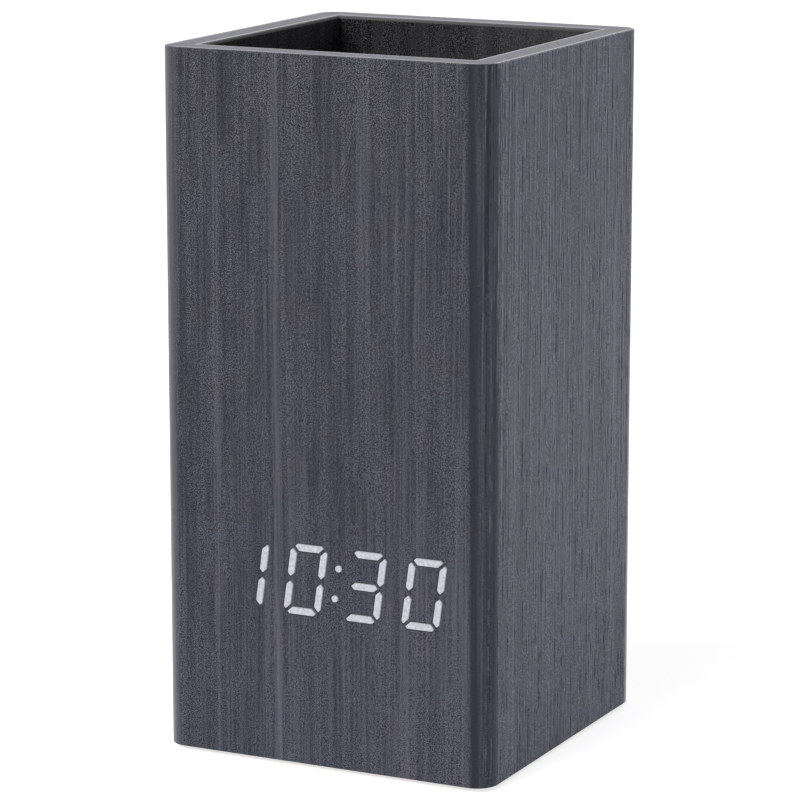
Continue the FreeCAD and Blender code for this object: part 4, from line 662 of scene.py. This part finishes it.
def cell_sleeve():
    """The printed sleeve, with its signs where the cells lie."""
    part = Finish("cell_sleeve")
    x, y, z = part.axis("X"), part.axis("Y"), part.axis("Z")
    signs, band = 0.0, 0.0

    def bar(place_x, half_x, place_z, half_z):
        """1 inside a rectangle on the side of the door."""
        in_x = part.one_of("LESS_THAN", part.one_of("ABSOLUTE", x - place_x), half_x)
        in_z = part.one_of("LESS_THAN", part.one_of("ABSOLUTE", z - place_z), half_z)
        return in_x * in_z

    for name, way in CELLS.items():
        low, high = (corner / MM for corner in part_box(name))
        middle = (low + high) / 2
        plus_end, minus_end = (high.x, low.x) if way == 1 else (low.x, high.x)
        plus_x, minus_x = plus_end - way * SIGN_PLACE, minus_end + way * SIGN_PLACE
        for place, half_x, half_z in ((plus_x, SIGN_HALF, SIGN_STROKE),
                                      (plus_x, SIGN_STROKE, SIGN_HALF),
                                      (minus_x, SIGN_HALF, SIGN_STROKE)):
            signs = signs + bar(place, half_x, middle.z, half_z)
        band = band + bar(plus_end, BAND_LENGTH, middle.z, (high.z - low.z) / 2)
    to_the_door = part.one_of("GREATER_THAN", y, middle.y)   # all cells lie at the same y
    printed = part.one_of("MINIMUM", signs * to_the_door, 1.0)
    scuffs = part.spots((9.0, 0.5, 0.5), detail=3, seed=14.0)
    film = part.mix(SLEEVE_DARK, SLEEVE_PALE, scuffs)
    silver = part.mix(SILVER_DARK, SILVER_PALE, scuffs)
    sleeve = part.mix(film, silver, part.one_of("MINIMUM", band, 1.0))
    return part.surface({
        "Base Color": part.mix(sleeve, SIGN_WHITE, printed * (1 - band * 0.9)),
        "Metallic": band * (1 - printed) * 0.7,
        "Roughness": 0.28 + (scuffs - 0.5) * 0.25,
        "Normal": part.relief(scuffs, 0.01)})


keep("cell_sleeve", cell_sleeve())

# %% [markdown]
# ## The plain finishes
#
# Screws, cans, sockets, buttons and feet each need one line: a family, a name, a colour and how
# rough it is. Pressed board also has the colour of its fibres, and some plastic the size and the
# depth of its grain, in millimetres. Each CAD solid already names the finish that it wants, so a
# loop hands them out.

# %% Make them and hand them out
PLAIN = (
    (pressed_board, "fibreboard", colour(0.30, 0.20, 0.115), colour(0.52, 0.40, 0.26), 0.82),
    (pressed_board, "blackened_board", colour(0.018, 0.018, 0.02),
     colour(0.06, 0.055, 0.05), 0.8),
    (metal, "screw_steel", colour(0.55, 0.54, 0.50), 0.34),
    (metal, "black_screw", colour(0.045, 0.045, 0.05), 0.42),
    (metal, "bright_can", colour(0.66, 0.66, 0.65), 0.24),
    (metal, "contact_plating", colour(0.62, 0.60, 0.55), 0.28),
    (metal, "cell_jacket", colour(0.60, 0.60, 0.58), 0.3),
    (moulded, "foot_rubber", colour(0.022, 0.022, 0.023), 0.86, 0.4, 0.03, 0.3),
    (moulded, "mask_plastic", colour(0.010, 0.010, 0.011), 0.6),
    (moulded, "dark_figures", colour(0.30, 0.30, 0.32), 0.5),
    (moulded, "led_package", colour(0.72, 0.66, 0.38), 0.4, 0.1, 0.004),
    (moulded, "chip_plastic", colour(0.014, 0.014, 0.015), 0.55, 0.12, 0.008),
    (moulded, "socket_plastic", colour(0.62, 0.58, 0.48), 0.48),
    (moulded, "rear_moulding", colour(0.022, 0.022, 0.024), 0.5, 0.3, 0.016),
    (moulded, "button_plastic", colour(0.030, 0.030, 0.033), 0.42, 0.2, 0.008),
    (moulded, "switch_plastic", colour(0.03, 0.03, 0.032), 0.5, 0.15),
    (moulded, "plunger_plastic", colour(0.50, 0.46, 0.38), 0.45, 0.15),
    (moulded, "sensor_epoxy", colour(0.012, 0.012, 0.013), 0.25, 0.5),
    (moulded, "red_insulation", colour(0.42, 0.018, 0.016), 0.42, 0.3),
    (moulded, "black_insulation", colour(0.014, 0.014, 0.015), 0.45, 0.3),
)
for family, name, *look in PLAIN:
    keep(name, family(name, *look))
for node in nodes.values():
    for slot in node.material_slots:
        slot.material = finishes[slot.material.name.split(".")[0]]
print(len(finishes), "finishes")

# %% [markdown]
# ## Softer bars
#
# A bar's glow fades at its edge. The fade could be painted, but a bar has no picture to paint on.
# So each bar's face gets a narrow ring by insetting it, and an attribute is 1 inside the ring
# and low on the outline: the material reads it.

# %% Inset the face of every lit bar
FADE = 0.12 * MM
OUTLINE_GLOW = 0.7
SAME_POINT = 0.001 * MM      # points nearer than this are joined
FORWARD = -0.99              # a face looks to the front where its normal's y is below this
LIT_NODES = ("hour_tens_segments", "hour_units_segments", "colon_dots",
             "minute_tens_segments", "minute_units_segments")


def shown_piece(name, mesh_maker, materials, body="case", sharp=None):
    """A new piece from a bmesh, riding on a body. Edges flatter than sharp are shaded smooth."""
    mesh = bpy.data.meshes.new(name)
    mesh_maker.to_mesh(mesh)
    mesh_maker.free()
    piece = bpy.data.objects.new(name, mesh)
    scene.collection.objects.link(piece)
    for material in materials:
        mesh.materials.append(material)
    if sharp:
        mesh.shade_smooth()
        mesh.set_sharp_from_angle(angle=math.radians(sharp))
    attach(piece, body)
    return piece


def merged_copy(node_name):
    """A solid's mesh with its loose triangles joined into whole faces."""
    copy = bmesh.new()
    copy.from_mesh(nodes[node_name].data)
    bmesh.ops.remove_doubles(copy, verts=copy.verts, dist=SAME_POINT)
    bmesh.ops.dissolve_limit(copy, angle_limit=math.radians(1.0), verts=copy.verts,
                             edges=copy.edges, use_dissolve_boundaries=False)
    return copy


for name in LIT_NODES:
    bars = merged_copy(name)
    front = min(vertex.co.y for vertex in bars.verts)
    glow = bars.verts.layers.float.new("glow")
    faces = [face for face in bars.faces
             if face.normal.y < FORWARD and face.calc_center_median().y < front + MM]
    for vertex in bars.verts:
        vertex[glow] = OUTLINE_GLOW
    for face in faces:
        bmesh.ops.inset_individual(bars, faces=[face], thickness=FADE, depth=0.0)
        for vertex in face.verts:
            vertex[glow] = 1.0
    piece = shown_piece(name.replace("segments", "bars").replace("dots", "lights"), bars,
                        [finishes["lit_figures"]])
    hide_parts(name)
    print(piece.name, len(faces), "faces glow")

# %% [markdown]
# ## Two ways to start a small piece
#
# Small hardware is either a block or a turned part. A block starts as a cube that is stretched,
# and its edges are bevelled, because no real edge is perfectly sharp. A turned part is a profile
# that is spun round an axis. Both are added to a bmesh, so many can make one piece.

# %% Blocks and turned parts
SPIN_STEPS = 48


def soft_block(maker, middle, size, bevel=0.08, segments=1, finish=0):
    """Adds a block with bevelled edges. Lengths are in millimetres."""
    verts = bmesh.ops.create_cube(maker, size=1.0)["verts"]
    bmesh.ops.scale(maker, vec=[side * MM for side in size], verts=verts)
    bmesh.ops.translate(maker, vec=[place * MM for place in middle], verts=verts)
    for face in {face for vert in verts for face in vert.link_faces}:
        face.material_index = finish
    edges = list({edge for vert in verts for edge in vert.link_edges})
    bmesh.ops.bevel(maker, geom=edges, offset=bevel * MM, offset_type="OFFSET", affect="EDGES",
                    segments=segments, profile=0.5, material=-1)


def turned(maker, profile, start, way):
    """Spins a profile of (along, out) points, in millimetres, round a line along the X axis."""
    verts = [maker.verts.new((start + Vector((way * along, 0, out))) * MM)
             for along, out in profile]
    edges = [maker.edges.new(pair) for pair in zip(verts, verts[1:])]
    bmesh.ops.spin(maker, geom=verts + edges, cent=start * MM, axis=(1, 0, 0), dvec=(0, 0, 0),
                   angle=math.tau, steps=SPIN_STEPS, use_merge=True)
    bmesh.ops.remove_doubles(maker, verts=maker.verts, dist=SAME_POINT)
    bmesh.ops.recalc_face_normals(maker, faces=maker.faces)


print("turned parts have", SPIN_STEPS, "sides")

# %% [markdown]
# ## The cells
#
# The solid of a cell is a plain rod with a nub. A real one has a sleeve that is shrunk over both
# ends in a soft lip, a sunk ring round the plus terminal and a raised pad on the minus end. All
# of that is one profile, spun.

# %% Spin the cells
SLEEVE_FROM = 4.25    # mm from the axis: the sleeve's lips start here
CELL_PROFILE = (
    (0.00, 0.00), (0.00, 3.10), (0.22, 3.40), (0.22, 4.20), (0.08, 4.30), (0.04, 4.60),
    (0.14, 4.95), (0.40, 5.18), (0.80, 5.25), (42.70, 5.25), (43.10, 5.18), (43.36, 4.95),
    (43.46, 4.60), (43.42, 4.30), (43.20, 4.20), (43.20, 2.50), (43.36, 2.20), (43.50, 1.95),
    (44.25, 1.90), (44.44, 1.78), (44.50, 1.55), (44.50, 0.00))   # mm along, mm out

for name, way in CELLS.items():
    low, high = (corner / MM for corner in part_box(name))
    start = (low + high) / 2
    start.x = low.x if way == 1 else high.x
    cell = bmesh.new()
    turned(cell, CELL_PROFILE, start, way)
    for face in cell.faces:
        out = (face.calc_center_median() / MM - start).yz.length
        face.material_index = 0 if out > SLEEVE_FROM else 1
    piece = shown_piece(name + "_in_sleeve", cell,
                        [finishes["cell_sleeve"], finishes["cell_jacket"]],
                        sharp=40)
    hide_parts(name)
    print(piece.name, len(piece.data.polygons), "faces")

# %% [markdown]
# ## Inside the battery door
#
# A thin flat door would bend, so its inside has two ribs that lie between the cells, where there
# is room. Raised signs show which way each cell goes in. They move with the door.

# %% Ribs on the door
INNER_FACE = 37.4     # mm, the inside of the door
RIB_LENGTH, RIB_HEIGHT, RIB_THICKNESS = 44.0, 1.2, 0.8     # mm
ROOTED = 0.1          # mm, how far a raised thing goes into what carries it

levels = sorted((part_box(name)[0].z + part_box(name)[1].z) / 2 / MM for name in CELLS)
ribs = bmesh.new()
for low, high in zip(levels, levels[1:]):
    soft_block(ribs, (0, INNER_FACE + ROOTED - RIB_HEIGHT / 2, (low + high) / 2),
               (RIB_LENGTH, RIB_HEIGHT, RIB_THICKNESS), bevel=0.2, segments=2)
piece = shown_piece("battery_door_ribs", ribs, [finishes["rear_moulding"]],
                    body="battery_door")
print(piece.name, len(piece.data.polygons), "faces")

# %% Signs on the door
SIGN_HEIGHT = 0.25    # mm
OUTLINE, OUTLINE_LINE = (36.0, 7.2), 0.5    # mm, the raised outline of a cell, and its line
NUB, NUB_OFF = (1.2, 2.6), 0.8              # mm, the outline's plus terminal, and its place
MARK_PLACE, MARK_LONG, MARK_LINE = 13, 3.2, 0.6    # mm, the plus and the minus in the outline

signs = bmesh.new()
raised_y = INNER_FACE + ROOTED - SIGN_HEIGHT / 2 - ROOTED / 2
thick = SIGN_HEIGHT + ROOTED
wide, tall = OUTLINE
for level, way in zip(levels, CELLS.values()):
    for end in (-1, 1):
        soft_block(signs, (0, raised_y, level + end * tall / 2), (wide, thick, OUTLINE_LINE))
        soft_block(signs, (end * wide / 2, raised_y, level),
                   (OUTLINE_LINE, thick, tall + OUTLINE_LINE))
    soft_block(signs, (way * (wide / 2 + NUB_OFF), raised_y, level), (NUB[0], thick, NUB[1]))
    plus, minus = way * MARK_PLACE, -way * MARK_PLACE
    for place, size in ((plus, (MARK_LONG, thick, MARK_LINE)),
                        (plus, (MARK_LINE, thick, MARK_LONG)),
                        (minus, (MARK_LONG, thick, MARK_LINE))):
        soft_block(signs, (place, raised_y, level), size)
piece = shown_piece("battery_door_signs", signs, [finishes["rear_moulding"]],
                    body="battery_door")
print(piece.name, len(piece.data.polygons), "faces")

# %% [markdown]
# ## Small electronics
#
# The chips behind the figures carry a yellow phosphor window. The boards carry resistors with
# tinned ends and brown capacitors, and solder where a wire comes through. The power socket's
# tongue has gilt contacts on both sides.

# %% Phosphor windows
WINDOW_EDGE, WINDOW_SUNK = 0.14, 0.05   # mm
chips = merged_copy("led_chips")
for face in [face for face in chips.faces if face.normal.y < FORWARD]:
    bmesh.ops.inset_individual(chips, faces=[face], thickness=WINDOW_EDGE * MM,
                               depth=-WINDOW_SUNK * MM)
    face.material_index = 1
phosphor = moulded("phosphor", colour(0.80, 0.56, 0.06), 0.5, 0.08, 0.006)
piece = shown_piece("led_chips_with_phosphor", chips, [finishes["led_package"], phosphor])
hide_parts("led_chips")
print(piece.name, len(piece.data.polygons), "faces")

# %% Resistors and capacitors
solder = metal("solder", colour(0.58, 0.58, 0.58), 0.32)
capacitor_clay = moulded("capacitor_clay", colour(0.30, 0.17, 0.09), 0.5, 0.2, 0.006)
gilt = metal("gilt", colour(0.80, 0.56, 0.22), 0.22)
BOARD_REARS = {"display": (-32.0, 1), "switch": (28.4, -1)}   # mm, and the way parts stand
ROW_PITCH = 2.6       # mm
RESISTOR_SIZE = (1.6, 0.8, 0.45)    # mm: long, wide, high
CAPACITOR_SIZE = (2.4, 1.5, 1.2)    # mm
RESISTORS = {         # x and z in mm
    "display": ([(15 + ROW_PITCH * i, 47.5) for i in range(6)]
                + [(-1.8, 29 + ROW_PITCH * i) for i in range(9)]),
    "switch": [(-8.2, 46.4), (-8.2, 49.6), (-5.0, 46.4), (13.6, 46.4), (13.6, 49.6)]}
CAPACITORS = {"display": [(15.5, 52.5), (20.0, 52.5), (24.5, 52.5), (-29.0, 36.0), (-29.0, 44.0)],
              "switch": [(-1.8, 48.0), (16.4, 48.8)]}
BODY_LONG, BODY_HIGH = 0.72, 0.94   # the body's share of the part's length and height
CAP_LONG, CAP_PLACE = 0.2, 0.41     # a cap's share of the length, and how far out it sits
SOLDER, RESISTOR_BODY, CAPACITOR_BODY = 0, 1, 2    # places in the piece's list of materials


def two_ended(maker, board, place, size, body_finish):
    """One small part with a tinned cap on each end, standing on the rear of a board."""
    face, way = BOARD_REARS[board]
    (x, z), (long, wide, high) = place, size
    y = face + way * high / 2
    soft_block(maker, (x, y, z), (wide, high * BODY_HIGH, long * BODY_LONG), 0.04,
               finish=body_finish)
    for end in (-1, 1):
        soft_block(maker, (x, y, z + end * long * CAP_PLACE), (wide, high, long * CAP_LONG), 0.05,
                   finish=SOLDER)


for board in BOARD_REARS:
    small = bmesh.new()
    for place in RESISTORS[board]:
        two_ended(small, board, place, RESISTOR_SIZE, RESISTOR_BODY)
    for place in CAPACITORS[board]:
        two_ended(small, board, place, CAPACITOR_SIZE, CAPACITOR_BODY)
    piece = shown_piece(board + "_board_small_parts", small,
                        [solder, finishes["chip_plastic"], capacitor_clay])
    print(piece.name, len(piece.data.polygons), "faces")

# %% Solder and gilt contacts
JOINTS = [(-19.5, 46.2, 0.95), (19.5, 46.2, 0.95),     # mm: x, z, radius. The battery's leads,
          (-11.8, 48.1, 0.5), (-13.2, 48.1, 0.5)]      # and the temperature sensor's
SOLDER_FLAT = 0.55    # how far a joint stands out, against its radius
face = BOARD_REARS["switch"][0]
joints = bmesh.new()
for x, z, radius in JOINTS:
    verts = bmesh.ops.create_icosphere(joints, subdivisions=2, radius=radius * MM)["verts"]
    bmesh.ops.scale(joints, vec=(1, SOLDER_FLAT, 1), verts=verts)
    bmesh.ops.translate(joints, vec=Vector((x, face, z)) * MM, verts=verts)
piece = shown_piece("solder_joints", joints, [solder], sharp=60)

TONGUE_MIDDLE = (16.2, 34.7, 48.6)   # mm
CONTACT_PITCH, CONTACT_COUNT, CONTACT_SIZE = 0.5, 12, (0.26, 3.2, 0.08)    # mm
TONGUE_HALF = 0.35    # mm, half the tongue's thickness
contacts = bmesh.new()
for i in range(CONTACT_COUNT):
    x = TONGUE_MIDDLE[0] + (i - (CONTACT_COUNT - 1) / 2) * CONTACT_PITCH
    for side in (-1, 1):
        soft_block(contacts, (x, TONGUE_MIDDLE[1], TONGUE_MIDDLE[2] + side * TONGUE_HALF),
                   CONTACT_SIZE, bevel=0.02)
piece = shown_piece("power_socket_contacts", contacts, [gilt])
print(len(JOINTS), "joints,", 2 * CONTACT_COUNT, "contacts")

# %% [markdown]
# ## The table
#
# A plain white table. It has to look white and still show the clock's shadow, so it is a matt
# white surface, with a little light of its own for the eye and for reflections only. Far from the
# clock, where the lamps are weak, that light is a little stronger.

# %% The floor
FLOOR_HALF = 4.0             # m
WHITE, TABLE_WHITE = colour(1, 1, 1), colour(0.84, 0.84, 0.85)
FLOOR_LIFT = 0.70            # its own light
FAR_LIFT = 0.17              # added far from the clock
NEAR, FAR = 450.0, 1300.0    # mm from the middle, where that starts and where it is full

floor_mesh = bmesh.new()
bmesh.ops.create_grid(floor_mesh, x_segments=8, y_segments=8, size=FLOOR_HALF)
mesh = bpy.data.meshes.new("table_top")
floor_mesh.to_mesh(mesh)
floor_mesh.free()
floor = bpy.data.objects.new("table_top", mesh)
scene.collection.objects.link(floor)


def seen_on(board):
    """1 for a ray of the eye, a mirror or glass, and 0 for one that lights a matt surface."""
    kinds = ("Is Camera Ray", "Is Glossy Ray", "Is Transmission Ray")
    eye, mirror, glass = (board.add("LightPath", output=kind) for kind in kinds)
    return board.one_of("MINIMUM", eye + mirror + glass, 1.0)


paper = Finish("white_table")
matt = paper.add("BsdfDiffuse", inputs={"Color": TABLE_WHITE})
across, along = paper.axis("X"), paper.axis("Y")
far = paper.step(across * across + along * along, NEAR ** 2, FAR ** 2)
own_light = paper.add("Emission", inputs={
    "Color": WHITE, "Strength": seen_on(paper) * (FLOOR_LIFT + far * FAR_LIFT)})
paper.add_output(paper.add("AddShader", inputs={0: matt, 1: own_light}))
mesh.materials.append(paper.material)
print("table", 2 * FLOOR_HALF, "m wide")

# %% [markdown]
# ## The light
#
# Black objects are lit by what they mirror. The room is plain white to the eye and to
# reflections, and gives a softer light on matt surfaces. Three soft boxes add some shape: a large
# one from the front left and above, a large one from behind, and a smaller, slightly cool one low
# on the right, which keeps that side about as pale as the face.

# %% The room
ROOM_LIGHT = 0.18     # for matt surfaces. The eye and mirrors see it as 1.

world = bpy.data.worlds.new("white_room")
world.use_nodes = True
scene.world = world
room = Board(world.node_tree)
sky = room.add("Background", inputs={
    "Color": WHITE, "Strength": ROOM_LIGHT + seen_on(room) * (1 - ROOM_LIGHT)})
end = room.tree.nodes.new("ShaderNodeOutputWorld")
room.tree.links.new(sky.socket, end.inputs["Surface"])
print("room light", ROOM_LIGHT)

# %% The soft boxes
PLAIN_LIGHT, COOL_LIGHT = (1.0, 1.0, 1.0), (0.90, 0.97, 1.0)
SOFT_BOXES = {        # side in m, power in W, azimuth and elevation in degrees, distance in m
    "front_box": (0.9, 18.0, -28, 44, 1.3, PLAIN_LIGHT),
    "rear_box": (0.9, 4.0, 165, 40, 1.4, PLAIN_LIGHT),
    "right_box": (0.5, 4.4, 95, 5, 1.4, COOL_LIGHT)}


def soft_box(name, side, power, azimuth, elevation, distance, light):
    """A square lamp that looks at the middle of the clock. Azimuth 0 is in front, 90 right."""
    lamp = bpy.data.lights.new(name, "AREA")
    lamp.shape, lamp.size, lamp.energy, lamp.color = "SQUARE", side, power, light
    holder = bpy.data.objects.new(name, lamp)
    scene.collection.objects.link(holder)
    turn, rise = math.radians(azimuth), math.radians(elevation)
    away = Vector((math.sin(turn) * math.cos(rise), -math.cos(turn) * math.cos(rise),
                   math.sin(rise)))
    middle = (cad_box[0] + cad_box[1]) / 2
    holder.location = middle + away * distance
    holder.rotation_euler = away.to_track_quat("Z", "Y").to_euler()


for name, lamp_values in SOFT_BOXES.items():
    soft_box(name, *lamp_values)
print(len(SOFT_BOXES), "soft boxes")

# %% [markdown]
# ## The camera
#
# A long lens from a little above, turned to the right of the face, so that upright edges lean
# only a little.

# %% Camera
LENS, SENSOR = 170.57, 36.0               # mm
CAMERA_PLACE = (0.37064, -0.74930, 0.25165)   # m
LOOK_DOWN, LOOK_ROUND = 11.872, 26.378   # degrees

camera_data = bpy.data.cameras.new("camera")
camera_data.lens, camera_data.sensor_width = LENS, SENSOR
camera = bpy.data.objects.new("camera", camera_data)
camera.location = CAMERA_PLACE
camera.rotation_euler = (math.radians(90 - LOOK_DOWN), 0.0, math.radians(LOOK_ROUND))
scene.collection.objects.link(camera)
scene.camera = camera
scene.view_settings.view_transform = "Standard"
print("camera", [round(v, 3) for v in camera.location])

# %% [markdown]
# ## The size
#
# The finer pieces stay inside the box of the solids.

# %% Finish
bpy.context.view_layer.update()
